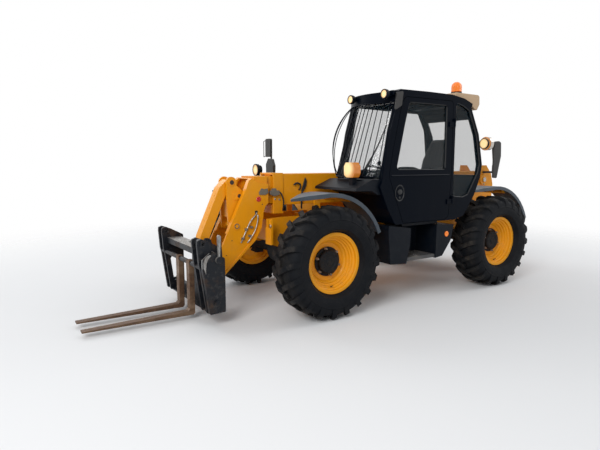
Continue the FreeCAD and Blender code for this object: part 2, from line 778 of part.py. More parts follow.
def eye_plate(low, high, points, holes):
    """A plate across X with pin holes at (y, z)."""
    drills = [rod("X", low - 5, high + 5, spot, size.tilt_pin_radius + size.pin_play) for spot in holes]
    return cut(prism("X", low, high, points), *drills)


lever_pivot = (size.lever_pivot_y, size.lever_pivot_z)
lever_top = (size.lever_top_y, size.lever_top_z)
lever_plate = eye_plate(80, 110, [
    (size.lever_pivot_y - 60, size.lever_pivot_z - 40),
    (size.lever_pivot_y + 50, size.lever_pivot_z - 50),
    (size.lever_pivot_y + 90, size.lever_pivot_z + 40),
    (size.lever_top_y + 150, size.lever_top_z - 190),
    (size.lever_top_y + 150, size.lever_top_z - 110),
    (size.lever_top_y + 55, size.lever_top_z - 30),
    (size.lever_top_y - 55, size.lever_top_z - 30),
    (size.lever_top_y - 60, size.lever_top_z - 80),
], [lever_pivot])
lever_head = rod("X", 80, 110, lever_top, size.lever_head_radius)
head_ring = rod("X", 105, 116, lever_top, size.tilt_pin_radius + 16)
bracket_spot = (size.lever_top_y + 88, size.lever_top_z - 152)
bracket = rounded("X", 105, 118, [
    (size.lever_top_y + 6, size.lever_top_z - 106),
    (size.lever_top_y + 124, size.lever_top_z - 106),
    (size.lever_top_y + 136, size.lever_top_z - 152),
    (size.lever_top_y + 110, size.lever_top_z - 192),
    (size.lever_top_y + 20, size.lever_top_z - 200),
], 16)
bracket_pin = rod("X", 112, 124, bracket_spot, size.tilt_pin_radius - 4)
lever_side = fuse(lever_plate, lever_head, head_ring, bracket, bracket_pin)
lever_core = box(-80, 80, size.lever_pivot_y - 40, size.lever_pivot_y + 40, size.lever_pivot_z + 90, size.lever_top_z - 200)
lever_pin = rod("X", -122, 122, lever_top, size.tilt_pin_radius)
lever = fuse(lever_side, mirrored(lever_side), lever_core, lever_pin)
node("tilt_lever", lever)

link_half = 70
link_body = prism("X", -link_half, link_half, [
    (size.lever_top_y + 34, size.lever_top_z - 34),
    (size.lever_top_y + 34, size.lever_top_z + 34),
    (size.lever_top_y - 40, size.lever_top_z + 30),
    (size.lever_top_y - 130, size.lever_top_z - 60),
    (size.carriage_pin_y - 50, size.carriage_pin_z + 60),
    (size.carriage_pin_y - 40, size.carriage_pin_z - 34),
    (size.carriage_pin_y + 34, size.carriage_pin_z - 34),
    (size.carriage_pin_y + 60, size.carriage_pin_z + 60),
    (size.lever_top_y - 40, size.lever_top_z - 110),
])
link_trough = prism("X", 12 - link_half, link_half - 12, [
    (size.lever_top_y - 75, size.lever_top_z - 112),
    (size.lever_top_y - 112, size.lever_top_z - 88),
    (size.carriage_pin_y - 24, size.carriage_pin_z + 92),
    (size.carriage_pin_y + 80, size.carriage_pin_z + 92),
    (size.lever_top_y - 20, size.lever_top_z - 130),
])
hole_holders = []
for index in range(6):
    share = 0.16 + 0.13 * index
    hole_y = size.lever_top_y - 130 + share * (size.carriage_pin_y - 50 - (size.lever_top_y - 130))
    hole_z = size.lever_top_z - 60 + share * (size.carriage_pin_z + 60 - (size.lever_top_z - 60))
    hole_holders.append(rod("Y", hole_y - 30, hole_y + 40, (18, hole_z), 7))
node("tilt_link", cut(
    link_body, link_trough, *hole_holders,
    rod("X", -80, 80, lever_top, size.tilt_pin_radius + size.pin_play),
))

carriage_pivot = (size.carriage_pivot_y, size.carriage_pivot_z)
frame_back_y = -1057
head_plate = eye_plate(104, 134, [
    (size.carriage_pivot_y + 50, size.carriage_pivot_z - 50),
    (size.carriage_pivot_y + 60, size.carriage_pivot_z + 40),
    (size.carriage_pin_y + 50, size.carriage_pin_z + 30),
    (size.carriage_pin_y + 20, size.carriage_pin_z + 52),
    (size.carriage_pin_y - 20, size.carriage_pin_z + 52),
    (size.carriage_pin_y - 60, size.carriage_pin_z - 20),
    (frame_back_y - 20, size.carriage_pin_z - 90),
    (frame_back_y - 20, 180),
    (frame_back_y + 20, 180),
], [carriage_pivot])
head_cross = box(-134, 134, frame_back_y - 20, frame_back_y, 200, 560)
headstock = fuse(head_plate, mirrored(head_plate), head_cross)
node("headstock", headstock)

left_x, right_x = size.fork_frame_left, -size.fork_frame_right
back_y = frame_back_y - 20
shaft_spot = (-1270, 610)
tube_spot = (-1262, 858)
CHEEK = [
    (-1051, 142),
    (-1051, 700),
    (-1086, 722),
    (-1169, 778),
    (-1236, 700),
    (-1292, 600),
    (-1272, 489),
    (-1223, 133),
]
EAR = [
    (-1060, 142),
    (-1062, 800),
    (-1215, 882),
    (-1280, 904),
    (-1318, 890),
    (-1322, 850),
    (-1306, 640),
    (-1292, 583),
    (-1275, 463),
    (-1232, 135),
]


def ear(low, high):
    """A tall end plate of the fork frame, with the bore of its upper tube and an opening below it."""
    plate = rounded("X", low, high, EAR, 14)
    window = rounded("X", low - 5, high + 5, [(-1110, 250), (-1110, 520), (-1200, 560), (-1225, 520), (-1190, 250)], 18)
    return cut(plate, window)


end_tubes = []
tube_bores = []
for low in (left_x - 232, right_x - 14):
    end_tubes.append(rod("X", low, low + 184, tube_spot, 32))
    tube_bores.append(rod("X", low - 5, low + 190, tube_spot, 19))
fork_frame = fuse(
    rounded("X", left_x - 62, left_x, CHEEK, 14),
    ear(left_x - 92, left_x - 60),
    ear(left_x - 232, left_x - 202),
    ear(right_x, right_x + 30),
    ear(right_x + 128, right_x + 158),
    box(right_x, left_x - 60, -1262, -1246, 716, 778),
    cut(box(right_x, left_x - 60, -1262, -1090, 764, 778), box(-146, 146, -1160, -1085, 760, 782)),
    box(right_x, left_x - 60, back_y - 50, back_y, 640, 700),
    box(right_x, left_x - 60, back_y - 50, back_y, 150, 240),
    box(right_x, left_x - 60, -1222, back_y, 142, 156),
    rod("X", right_x, left_x - 60, shaft_spot, size.fork_shaft_radius),
    box(-134, 134, back_y - 50, back_y, 200, 700),
    *end_tubes,
)
hook = rounded("X", left_x - 4, left_x + 16, [
    (-1216, 774),
    (-1300, 706),
    (-1300, 612),
    (-1240, 584),
    (-1240, 618),
    (-1262, 632),
    (-1262, 694),
    (-1212, 738),
], 6)
handle = rounded("X", left_x - 2, left_x + 18, [(-1130, 700), (-1086, 700), (-1098, 930), (-1116, 946), (-1136, 930)], 8)
latch = fuse(hook, handle, rod("X", left_x - 4, left_x + 30, (-1124, 690), 34), rod("X", left_x - 4, left_x + 22, (-1150, 250), 26))
fork_frame = cut(fuse(fork_frame, latch), *tube_bores)
node("fork_frame", fork_frame)


def fork(centre_x):
    """One fork: a shank hung on the shaft by its eye, and a blade that thins to its tip."""
    low = size.fork_low_z
    shank = prism("X", centre_x - size.fork_width / 2, centre_x + size.fork_width / 2, [
        (-1245, low + 20),
        (-1245, 640),
        (-1300, 640),
        (-1300, low + size.fork_thickness + 20),
        (-1320, low + size.fork_thickness),
        (-size.front_reach, low + 14),
        (-size.front_reach, low),
        (-1265, low),
    ])
    return cut(shank, rod("X", centre_x - 60, centre_x + 60, shaft_spot, size.fork_shaft_radius + 0.3))


node("forks", set_of(fork(size.fork_spread_left), fork(size.fork_spread_right)))

# Lift ram, drawn along its own line from the base eye and then turned to the boom's eye

ram_run = lift_base_y - lift_eye_y
ram_rise = size.lift_eye_z - size.lift_base_z
ram_length = math.hypot(ram_run.number, ram_rise.number)
ram_angle = math.degrees(math.atan2(ram_rise.number, ram_run.number))


def ram_node(label, item):
    """Set a piece drawn along minus Y from the base eye onto the ram's slope."""
    node(label, item, 0, lift_base_y, size.lift_base_z)
    nodes[label].Placement = FreeCAD.Placement(
        nodes[label].Placement.Base, FreeCAD.Rotation(FreeCAD.Vector(1, 0, 0), -ram_angle)
    )
    place(nodes[label], 0, front_axle_y + lift_base_y, size.lift_base_z)


barrel_length = ram_length - 130
barrel = cut(
    fuse(
        rod("Y", -barrel_length, -60, (0, 0), size.lift_barrel_radius),
        rod("X", -48, 48, (0, 0), size.lift_pin_radius + 26),
        box(-40, 40, -80, 0, -40, 40),
    ),
    rod("Y", -barrel_length - 5, -110, (0, 0), size.lift_rod_radius + size.pin_play),
    rod("X", -60, 60, (0, 0), size.lift_pin_radius + size.pin_play),
)
ram_node("lift_barrel", barrel)
lift_rod = fuse(
    rod("Y", -ram_length, -115, (0, 0), size.lift_rod_radius),
    rod("X", -40, 40, (-ram_length, 0), 44),
)
ram_node("lift_rod", lift_rod)

# Cab

belt = size.belt_z
CAB_SIDE = [
    (887, size.cab_floor_z),
    (772, 1130),
    (645, 1393),
    (673, 1437),
    (725, 1691),
    (788, 2021),
    (869, 2297),
    (920, size.cab_roof_z - size.roof_thickness),
    (1780, size.cab_roof_z - size.roof_thickness),
    (1990, size.cab_roof_z - 36 - size.roof_thickness),
    (2135, size.cab_roof_z - 94 - size.roof_thickness),
    (2298, 2014),
    (2386, 1634),
    (2358, 1467),
    (2254, 1250),
    (2147, 1100),
    (2058, 989),
    (1889, size.cab_floor_z),
]
DOOR = [
    (1011, size.cab_floor_z + 12),
    (1705, size.cab_floor_z + 12),
    (1776, 1005),
    (1805, belt - 20),
    (1796, 2395),
    (1010, 2395),
    (955, 2330),
    (830, 1790),
    (780, belt - 20),
]
DOOR_WINDOW = [
    (885, belt + 46),
    (1707, belt + 44),
    (1700, 2345),
    (1066, 2345),
    (999, 2085),
]
QUARTER_WINDOW = [
    (1850, 1236),
    (2040, 1224),
    (2138, 1252),
    (2314, 1520),
    (2348, 1640),
    (2264, 2003),
    (2110, 2304),
    (1985, 2360),
    (1850, 2394),
]
RIGHT_WINDOW = [
    (800, belt + 30),
    (2250, belt + 30),
    (2180, 2100),
    (2050, 2330),
    (960, 2350),
]
left_inner = size.cab_outer_x - size.cab_wall
right_inner = size.cab_inner_x + size.cab_wall
glass_depth = 30
hinge_y = 1824
hinge_x = size.cab_outer_x + 14
HINGES = (1180, 2120)


def slab(low, high, points, growth=0):
    """A side panel across X whose outline is the polygon with round corners, or stands out from it."""
    radius = size.cab_round if points in (CAB_SIDE, DOOR) else size.window_round
    return rounded("X", low, high, points, radius + growth, growth)


cab_openings = [
    rounded("X", right_inner, left_inner, CAB_SIDE, 12, -size.cab_wall),
    slab(left_inner - 5, size.cab_outer_x + 5, DOOR, size.door_gap),
    slab(left_inner - 5, size.cab_outer_x + 5, QUARTER_WINDOW),
    slab(size.cab_inner_x - 5, right_inner + 5, RIGHT_WINDOW),
    box(right_inner + 15, left_inner - 15, 300, 1100, 1470, 2330),
    box(right_inner + 15, left_inner - 15, 2100, 2500, 1500, 2200),
    box(right_inner + 40, left_inner - 40, 1030, 1900, 2300, 2500),
]
cab_shell = cut(slab(size.cab_inner_x, size.cab_outer_x, CAB_SIDE), *cab_openings)
hinge_parts = []
for hinge_z in HINGES:
    hinge_parts.append(box(size.cab_outer_x - 8, hinge_x, hinge_y + 2, hinge_y + 24, hinge_z + 32, hinge_z + 72))
    hinge_parts.append(rod("Z", hinge_z + 32, hinge_z + 72, (hinge_x, hinge_y), 12))
    hinge_parts.append(rod("Z", hinge_z - 30, hinge_z + 40, (hinge_x, hinge_y), 5))
node("cab_frame", fuse(cab_shell, *hinge_parts))

door_inner = size.cab_outer_x - size.door_thickness
door_parts = [slab(door_inner, size.cab_outer_x, DOOR)]
for hinge_z in HINGES:
    door_parts.append(box(size.cab_outer_x - 8, hinge_x, hinge_y - 90, hinge_y - 48, hinge_z - 30, hinge_z + 30))
    door_parts.append(box(size.cab_outer_x + 3, hinge_x, hinge_y - 90, hinge_y, hinge_z - 30, hinge_z + 30))
    door_parts.append(rod("Z", hinge_z - 30, hinge_z + 30, (hinge_x, hinge_y), 11))
door_holes = [slab(door_inner - 5, size.cab_outer_x + 5, DOOR_WINDOW)]
for hinge_z in HINGES:
    door_holes.append(rod("Z", hinge_z - 40, hinge_z + 40, (hinge_x, hinge_y), 5 + size.pin_play))
node("cab_door", cut(fuse(*door_parts), *door_holes))


def pane(level, points):
    """A flat pane across X seated inside its window."""
    return slab(level, level + size.glass_thickness, points, -size.glass_play)


node("door_window", pane(size.cab_outer_x - glass_depth, DOOR_WINDOW))
rear_pane = prism("X", right_inner + 15.3, left_inner - 15.3, [
    (2206, 2199),
    (2278, 2010),
    (2366, 1634),
    (2343, 1501),
    (2337, 1501),
    (2360, 1634),
    (2272, 2008),
    (2200, 2197),
])
node("cab_windows", set_of(
    pane(size.cab_outer_x - glass_depth, QUARTER_WINDOW),
    pane(size.cab_inner_x + 20, RIGHT_WINDOW),
    rear_pane,
))

roof_low = size.cab_roof_z - size.roof_thickness
roof_panel = prism("X", size.cab_inner_x, size.cab_outer_x, [
    (920, roof_low),
    (1780, roof_low),
    (1990, roof_low - 36),
    (2135, roof_low - 94),
    (2156, size.cab_roof_z - 90),
    (2001, size.cab_roof_z - 36),
    (1780, size.cab_roof_z - 4),
    (1384, size.cab_roof_z),
    (924, size.cab_roof_z - 4),
    (890, size.cab_roof_z - 30),
])


def bow_y(x, x_low, x_high, end_y, middle_y):
    """Y on the arc that bows forward from end_y at both X limits to middle_y between them."""
    reach = (x_high - x_low) / 2
    rise = end_y - middle_y
    radius = (reach ** 2 + rise ** 2) / (2 * rise)
    offset = x - (x_high + x_low) / 2
    return end_y - (math.sqrt(radius ** 2 - offset ** 2) - (radius - rise))


def bow_points(x_low, x_high, end_y, middle_y, count):
    """Points along that arc, from the low X to the high one."""
    points = []
    for index in range(count + 1):
        x = x_low + (x_high - x_low) * (index / count)
        points.append((x, bow_y(number_of(x), number_of(x_low), number_of(x_high), end_y, middle_y)))
    return points


def bowed(x_low, x_high, ends, middles, levels, thickness):
    """A sheet bowed forward in plan: end and middle Y at two levels, joined by straight rulings."""
    wires = []
    middle_x = (number_of(x_low) + number_of(x_high)) / 2
    for end_y, middle_y, level in zip(ends, middles, levels):
        first, second = number_of(x_low), number_of(x_high)
        end_y, middle_y, level, deep = [number_of(v) for v in (end_y, middle_y, level, thickness)]
        corners = [FreeCAD.Vector(first, end_y, level), FreeCAD.Vector(second, end_y, level)]
        back = [point + FreeCAD.Vector(0, deep, 0) for point in corners]
        front = Part.Arc(corners[0], FreeCAD.Vector(middle_x, middle_y, level), corners[1]).toShape()
        rear = Part.Arc(back[1], FreeCAD.Vector(middle_x, middle_y + deep, level), back[0]).toShape()
        wires.append(Part.Wire([
            front, Part.LineSegment(corners[1], back[1]).toShape(),
            rear, Part.LineSegment(back[0], corners[0]).toShape(),
        ]))
    item = doc.addObject("Part::Feature", fresh("bowed"))
    item.Shape = Part.makeLoft(wires, True, True)
    return item


screen_low, screen_high = 1472, 2328
SCREEN_FOOT_Y = 500
node("windscreen", bowed(
    right_inner + 15.3, left_inner - 15.3, (700, 912), (SCREEN_FOOT_Y, 800), (screen_low, screen_high), size.glass_thickness,
))
visor = cut(
    prism("Z", 2336, roof_low + 20, bow_points(size.cab_inner_x, size.cab_outer_x, 880, 752, 12) + [
        (size.cab_outer_x, 925),
        (size.cab_inner_x, 925),
    ]),
    slab(size.cab_inner_x - 5, size.cab_outer_x + 5, CAB_SIDE),
)
roof_lamp_back = 772
roof_lamp_z = 2410
ROOF_LAMPS = (390, 980)
lamp_feet = [
    box(spot - 22, spot + 22, roof_lamp_back, roof_lamp_back + 30, roof_lamp_z - 16, roof_lamp_z + 24) for spot in ROOF_LAMPS
]
lamp_bar = fuse(
    *lamp_feet,
    box(330, 1040, 790, 815, 2400, 2450),
    box(345, 385, 810, 930, 2430, 2450),
    box(975, 1015, 810, 930, 2430, 2450),
)
node("cab_roof", fuse(roof_panel, visor, lamp_bar))

pod = rounded("X", 560, 985, [
    (1880, size.cab_roof_z - 4 - 100 * 32 / 221),
    (2001, size.cab_roof_z - 36),
    (2156, size.cab_roof_z - 90),
    (2235, 2334),
    (2288, 2322),
    (2333, 2396),
    (2327, 2490),
    (2300, 2510),
    (1890, 2514),
], 6)
beacon_x, beacon_y, beacon_foot = 900, 1985, 2502
beacon_bore = rod("Z", beacon_foot, beacon_foot + 20, (beacon_x, beacon_y), 52.3)
node("roof_pod", cut(pod, beacon_bore))
dome = doc.addObject("Part::Sphere", "beacon_dome")
dome.Radius = 64
dome.Placement = FreeCAD.Placement(FreeCAD.Vector(beacon_x, beacon_y, 2592), FreeCAD.Rotation())
node("beacon", fuse(
    rod("Z", beacon_foot, 2520, (beacon_x, beacon_y), 52),
    rod("Z", 2518, 2534, (beacon_x, beacon_y), 66),
    rod("Z", 2532, 2592, (beacon_x, beacon_y), 64),
    dome,
))

cowl_low_x, cowl_high_x = number_of(right_inner + 25), number_of(left_inner - 25)
plinth_front = bow_points(cowl_low_x, cowl_high_x, 635, SCREEN_FOOT_Y - 20, 8)
cowl = fuse(
    prism("X", size.cab_inner_x + 4, 985, [
        (700, 1300),
        (700, 1470),
        (560, 1470),
        (340, 1380),
        (330, 1350),
        (560, 1345),
        (640, 1300),
    ]),
    prism("Z", 1380, screen_low - size.glass_play, plinth_front + [(cowl_high_x, 645), (cowl_low_x, 645)]),
    box(770, 830, 405, 465, 1390, 1494.7),
)
node("front_cowl", cut(cowl, slab(size.cab_inner_x - 5, size.cab_outer_x + 5, CAB_SIDE)))

guard_bars = []
BAR_COUNT = 13
guard_low_x, guard_high_x = cowl_low_x - 5, cowl_high_x + 5
for index in range(BAR_COUNT):
    share = index / (BAR_COUNT - 1)
    bar_x = guard_low_x + share * (guard_high_x - guard_low_x)
    foot = (bar_x, bow_y(bar_x, guard_low_x, guard_high_x, 640, SCREEN_FOOT_Y - 45), 1500)
    head = (bar_x, bow_y(bar_x, guard_low_x, guard_high_x, 835, 725), 2328)
    guard_bars.append((foot, head))
guard_parts = [strut(foot, head, 5) for foot, head in guard_bars]


def rail(first, middle, last, radius):
    """A round bar bent along the arc through three points."""
    arc = Part.Wire([Part.Arc(*[FreeCAD.Vector(*point) for point in (first, middle, last)]).toShape()])
    start = arc.Edges[0].tangentAt(arc.Edges[0].FirstParameter)
    circle = Part.Wire([Part.makeCircle(radius, FreeCAD.Vector(*first), start)])
    item = doc.addObject("Part::Feature", fresh("rail"))
    item.Shape = arc.makePipeShell([circle], True, True)
    return item


for spot, bulge in ((0, 78), (1, 66), (2, 54)):
    foot, head = guard_bars[spot]
    middle = ((foot[0] + head[0]) / 2 - bulge, (foot[1] + head[1]) / 2 - bulge - 40, (foot[2] + head[2]) / 2)
    guard_parts.append(rail(foot, middle, head, 5))
middle_bar = BAR_COUNT // 2
for spot in (0, 1):
    guard_parts.append(rail(guard_bars[0][spot], guard_bars[middle_bar][spot], guard_bars[-1][spot], 8))
for foot, head in (guard_bars[3], guard_bars[middle_bar], guard_bars[-4]):
    guard_parts.append(box(head[0] - 12, head[0] + 12, head[1] - 3, head[1] + 58, 2324, 2336))
node("windscreen_guard", fuse(*guard_parts))

# Inside the cab

floor_z = size.cab_floor_z + size.cab_wall
node("dash_console", prism("X", 330, 900, [
    (920, floor_z),
    (825, 1165),
    (800, 1200),
    (800, 1440),
    (900, 1440),
    (900, 1200),
    (960, floor_z),
]))
seat_mid = 600
node("seat_base", box(seat_mid - 200, seat_mid + 200, 1480, 1860, floor_z, 1290))
node("seat_cushions", set_of(
    box(seat_mid - 250, seat_mid + 250, 1400, 1900, 1290.3, 1400),
    prism("X", seat_mid - 240, seat_mid + 240, [(1900.6, 1290.3), (2020, 1310), (2130, 1960), (2030, 1980), (1900.6, 1420)]),
))
ring = doc.addObject("Part::Torus", "steering_ring")
ring.Radius1 = 180
ring.Radius2 = 14
ring.Placement = FreeCAD.Placement(FreeCAD.Vector(seat_mid, 1010, 1530), FreeCAD.Rotation(FreeCAD.Vector(1, 0, 0), -30))
spoke = doc.addObject("Part::Box", "steering_spoke")
spoke.Length, spoke.Width, spoke.Height = 350, 50, 14
spoke.Placement = FreeCAD.Placement(FreeCAD.Vector(seat_mid - 175, 990, 1532), FreeCAD.Rotation(FreeCAD.Vector(1, 0, 0), -30))
column = cut(strut((seat_mid, 880, 1310), (seat_mid, 1014, 1538), 30), box(0, 1000, 0, 900, 1000, 2000))
node("steering_wheel", fuse(ring, spoke, column))

# Mudguards, step, lamps and mirrors

ARC_COUNT = 12
BRACKET_SPOT = 4


def guard_points(centre_y, depth):
    """The guard's line across X, below its top by a depth: a tongue forward, then an arc about the hub."""
    radius = size.guard_radius - depth
    line = [
        (centre_y - 515, size.tyre_radius + 693 - depth / 2),
        (centre_y - 300, size.tyre_radius + 720 - depth),
    ]
    for index in range(ARC_COUNT):
        angle = math.radians(-9 + 77 * index / (ARC_COUNT - 1))
        line.append((centre_y + radius * math.sin(angle), size.tyre_radius + radius * math.cos(angle)))
    return line


def strip(x_low, x_high, centre_y, depth):
    """A band that follows the guard's line, as deep as given."""
    return prism("X", x_low, x_high, guard_points(centre_y, 0) + guard_points(centre_y, depth)[::-1])


guards = []
brackets = []
lip = 14
for centre_y, tongue in ((0, 515), (size.wheelbase, 470)):
    guard = cut(
        fuse(
            strip(size.guard_inner_x, size.guard_outer_x, centre_y, size.guard_thickness),
            strip(size.guard_outer_x - lip, size.guard_outer_x, centre_y, size.guard_lip),
        ),
        prism("Z", 1000, 1400, [
            (size.guard_inner_x - 10, centre_y - 120),
            (size.guard_outer_x - 20, centre_y + 10 - tongue),
            (size.guard_outer_x + 10, centre_y + 10 - tongue),
            (size.guard_outer_x + 10, centre_y - 600),
            (size.guard_inner_x - 10, centre_y - 600),
        ]),
    )
    guards.append(guard)
    seat_line = guard_points(centre_y, size.guard_thickness)[2 + BRACKET_SPOT:4 + BRACKET_SPOT]
    (first_y, first_z), (last_y, last_z) = seat_line
    brackets.append(fuse(
        prism("X", size.frame_outer_x, size.frame_outer_x + 26, seat_line + [(last_y - 8, 930), (first_y + 8, 930)]),
        prism("X", size.frame_outer_x + 20, size.guard_outer_x - 110, seat_line + [(last_y, last_z - 26), (first_y, first_z - 26)]),
    ))
lamp_post = box(-880, -820, 80, 130, 1300, 1484.7)
right_front = fuse(mirrored(guards[0]), lamp_post)
guards = [guards[0], guards[1], right_front, mirrored(guards[1])]
node("mudguards", set_of(*guards))
node("mudguard_brackets", set_of(*brackets, mirrored(brackets[0]), mirrored(brackets[1])))

step_x = 1015
step_high = size.cab_floor_z - 8
step = fuse(
    prism("X", 640, step_x, [(800, step_high), (1148, 890), (1140, 690), (1082, 470), (832, 490), (790, 880)]),
    prism("X", 640, step_x, [(1585, 905), (1895, 890), (1846, 690), (1698, 506), (1576, 490)]),
    box(640, 675, 1075, 1600, 505, step_high),
    box(640, 950, 1060, 1660, step_high - 30, step_high),
    box(size.frame_outer_x, 645, 820, 860, 500, 640),
    box(size.frame_outer_x, 645, 1640, 1680, 520, 640),
)
node("step_unit", step)
tread_low = 500
tread = fuse(
    box(675, 1002, 1101, 1575.5, tread_low + 34, tread_low + 40),
    box(990, 1002, 1101, 1575.5, tread_low, tread_low + 36),
    box(675, 687, 1101, 1575.5, tread_low + 6, tread_low + 38),
)
slots = [box(720, 960, 1146 + 60 * index, 1170 + 60 * index, tread_low + 30, tread_low + 45) for index in range(7)]
node("step_tread", cut(tread, *slots))

headlight = rounded("Y", 378, 462, [(712, 1520), (752, 1495), (872, 1495), (902, 1540), (902, 1616), (866, 1662), (740, 1662), (708, 1622)], 22)
right_lamp = fuse(
    rod("Y", 62, 104, (-850, 1565), 78),
    rod("Y", 100, 140, (-850, 1565), 62),
    box(-868, -832, 88, 122, 1485, 1510),
)
roof_lamps = [
    fuse(
        rod("Y", roof_lamp_back - 62, roof_lamp_back - 22, (spot, roof_lamp_z), 50),
        rod("Y", roof_lamp_back - 24, roof_lamp_back, (spot, roof_lamp_z), 34),
    ) for spot in ROOF_LAMPS
]
work_lamp = fuse(
    rod("Y", 3262, 3330, (400, 1940), 100),
    rod("Y", 3225, 3264, (400, 1940), 76),
)
node("lamps", set_of(headlight, right_lamp, *roof_lamps, work_lamp))
mirror_loop = [(-1015, 1762), (-1100, 1744), (-1100, 1962), (-1015, 1980)]
loop_bars = [
    strut((x_first, 331, z_first), (x_last, 331, z_last), 5)
    for (x_first, z_first), (x_last, z_last) in zip(mirror_loop, mirror_loop[1:])
]
right_mirror = fuse(
    rounded("Y", 314, 348, [(-1024, 1742), (-884, 1742), (-884, 1994), (-1024, 1994)], 26),
    rounded("Y", 310, 352, [(-1000, 1512), (-806, 1512), (-800, 1620), (-846, 1712), (-940, 1722), (-1004, 1640)], 26),
    *loop_bars,
    strut((-930, 358, 1490), (-930, 358, 1900), 12),
    strut((-670, 730, 1180), (-930, 358, 1500), 12),
    box(-700, -640, 710, size.engine_front_y, 1150, 1210),
)
rear_mirror = fuse(
    rounded("X", 396, 420, [(3455, 1430), (3540, 1424), (3622, 1760), (3610, 1960), (3560, 1984), (3470, 1976), (3452, 1800)], 24),
    strut((372, 3470, 1940), (372, 3330.3, 1940), 14),
    strut((372, 3470, 1942), (372, 3540, 1500), 14),
    box(364, 400, 3490, 3530, 1500, 1620),
    box(boss_low, 380, 3488, 3532, 1500, 1530),
)
mirrors = set_of(
    right_mirror,
    fuse(
        box(size.cab_outer_x, 1055, 886, 912, 2340, 2390),
        rounded("X", 1050, 1065, [(803, 2230), (826, 2430), (925, 2446), (905, 2290)], 14),
    ),
    rear_mirror,
)
node("mirrors", mirrors)

# Engine side

bay_in, bay_out = size.engine_inner_x, size.engine_outer_x
panel = size.bonnet_wall
top = size.bonnet_top_z
tray = fuse(
    box(bay_out, -size.frame_outer_x, size.engine_front_y, engine_rear_y, size.engine_floor_z, size.engine_floor_z + panel),
    box(bay_in, -size.frame_outer_x, size.engine_front_y, engine_rear_y, size.engine_floor_z, top - panel - 6),
)
ends = []
for y_low in (size.engine_front_y, engine_rear_y - panel):
    ends.append(prism("Y", y_low, y_low + panel, [
        (bay_in, size.engine_floor_z),
        (bay_in, top - panel - 6),
        (-890, top - 60 - panel - 10),
        (-985, top - 120 - panel - 10),
        (bay_out + panel + 8, top - 220 - panel),
        (bay_out + panel + 8, size.engine_floor_z),
    ]))
pin_z = top + 4
pin_x = bay_in + 14
BONNET_HINGES = (size.engine_front_y + 150, engine_rear_y - 250)
hinge_bits = []
barrels = []
bores = []
for hinge_y_low in BONNET_HINGES:
    hinge_bits.append(box(pin_x - 10, pin_x + 10, hinge_y_low - 32, hinge_y_low - 2, top - 60, pin_z + 6))
    hinge_bits.append(rod("Y", hinge_y_low - 32, hinge_y_low + 80, (pin_x, pin_z), 6))
    barrels.append(rod("Y", hinge_y_low, hinge_y_low + 80, (pin_x, pin_z), 14))
    barrels.append(box(bay_in - 40, pin_x, hinge_y_low, hinge_y_low + 80, top - 14, pin_z + 12))
    bores.append(rod("Y", hinge_y_low - 5, hinge_y_low + 85, (pin_x, pin_z), 6 + size.pin_play))
node("engine_tray", fuse(tray, *ends, *hinge_bits))
bonnet = prism("Y", size.engine_front_y - 4, engine_rear_y + 4, [
    (bay_in - 6, top),
    (-900, top - 60),
    (-1000, top - 120),
    (bay_out, top - 220),
    (bay_out, size.engine_floor_z + panel + 8),
    (bay_out + panel, size.engine_floor_z + panel + 8),
    (bay_out + panel, top - 226),
    (-990, top - 136),
    (-893, top - 60 - panel),
    (bay_in - 6, top - panel),
])
node("engine_bonnet", cut(fuse(bonnet, *barrels), *bores))
node("engine_block", box(-880, -400, 900, 1780, size.engine_floor_z + panel, 1180))

# Save

doc.recompute()
for item in doc.Objects:
    if "Invalid" in item.State or "Error" in item.State:
        raise RuntimeError(f"{item.Name} {item.Label} {item.State} {[part.Name for part in item.OutList]}")
for label, item in nodes.items():
    if item.Shape.isNull() or not item.Shape.isValid():
        raise RuntimeError(f"{label} is not a valid shape")
    item.Shape.exportStep(f"parts/{label}.step")
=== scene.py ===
import math

import bmesh
import bpy
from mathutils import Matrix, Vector


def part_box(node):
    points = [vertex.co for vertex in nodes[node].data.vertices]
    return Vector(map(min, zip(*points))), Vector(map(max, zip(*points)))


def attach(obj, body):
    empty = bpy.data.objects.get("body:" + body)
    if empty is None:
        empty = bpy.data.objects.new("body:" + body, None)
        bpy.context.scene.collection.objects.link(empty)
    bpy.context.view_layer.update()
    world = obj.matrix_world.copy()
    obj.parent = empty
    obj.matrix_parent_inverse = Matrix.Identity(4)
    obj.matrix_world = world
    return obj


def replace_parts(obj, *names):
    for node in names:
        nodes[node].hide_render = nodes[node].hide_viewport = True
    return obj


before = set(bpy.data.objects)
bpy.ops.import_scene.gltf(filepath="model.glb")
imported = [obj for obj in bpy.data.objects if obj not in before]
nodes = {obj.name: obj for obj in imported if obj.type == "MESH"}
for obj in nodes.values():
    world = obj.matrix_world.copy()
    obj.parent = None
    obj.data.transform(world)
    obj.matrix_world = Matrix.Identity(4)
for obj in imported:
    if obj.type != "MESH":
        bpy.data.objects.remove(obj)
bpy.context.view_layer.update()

# Camera: low, in front of the machine's left corner, looking back along it
# with a moderately wide lens.
camera = bpy.data.objects.new("camera", bpy.data.cameras.new("camera"))
bpy.context.scene.collection.objects.link(camera)
bpy.context.scene.camera = camera
camera_turn, camera_dip, camera_roll = 57.455, 7.205, 0.07
camera.data.sensor_width = 36.0
camera.data.lens = 29.272
camera.data.clip_end = 200.0
camera.location = (5.118, -3.764, 1.653)
camera.rotation_euler = (
    math.radians(90 - camera_dip), math.radians(camera_roll), math.radians(camera_turn),
)


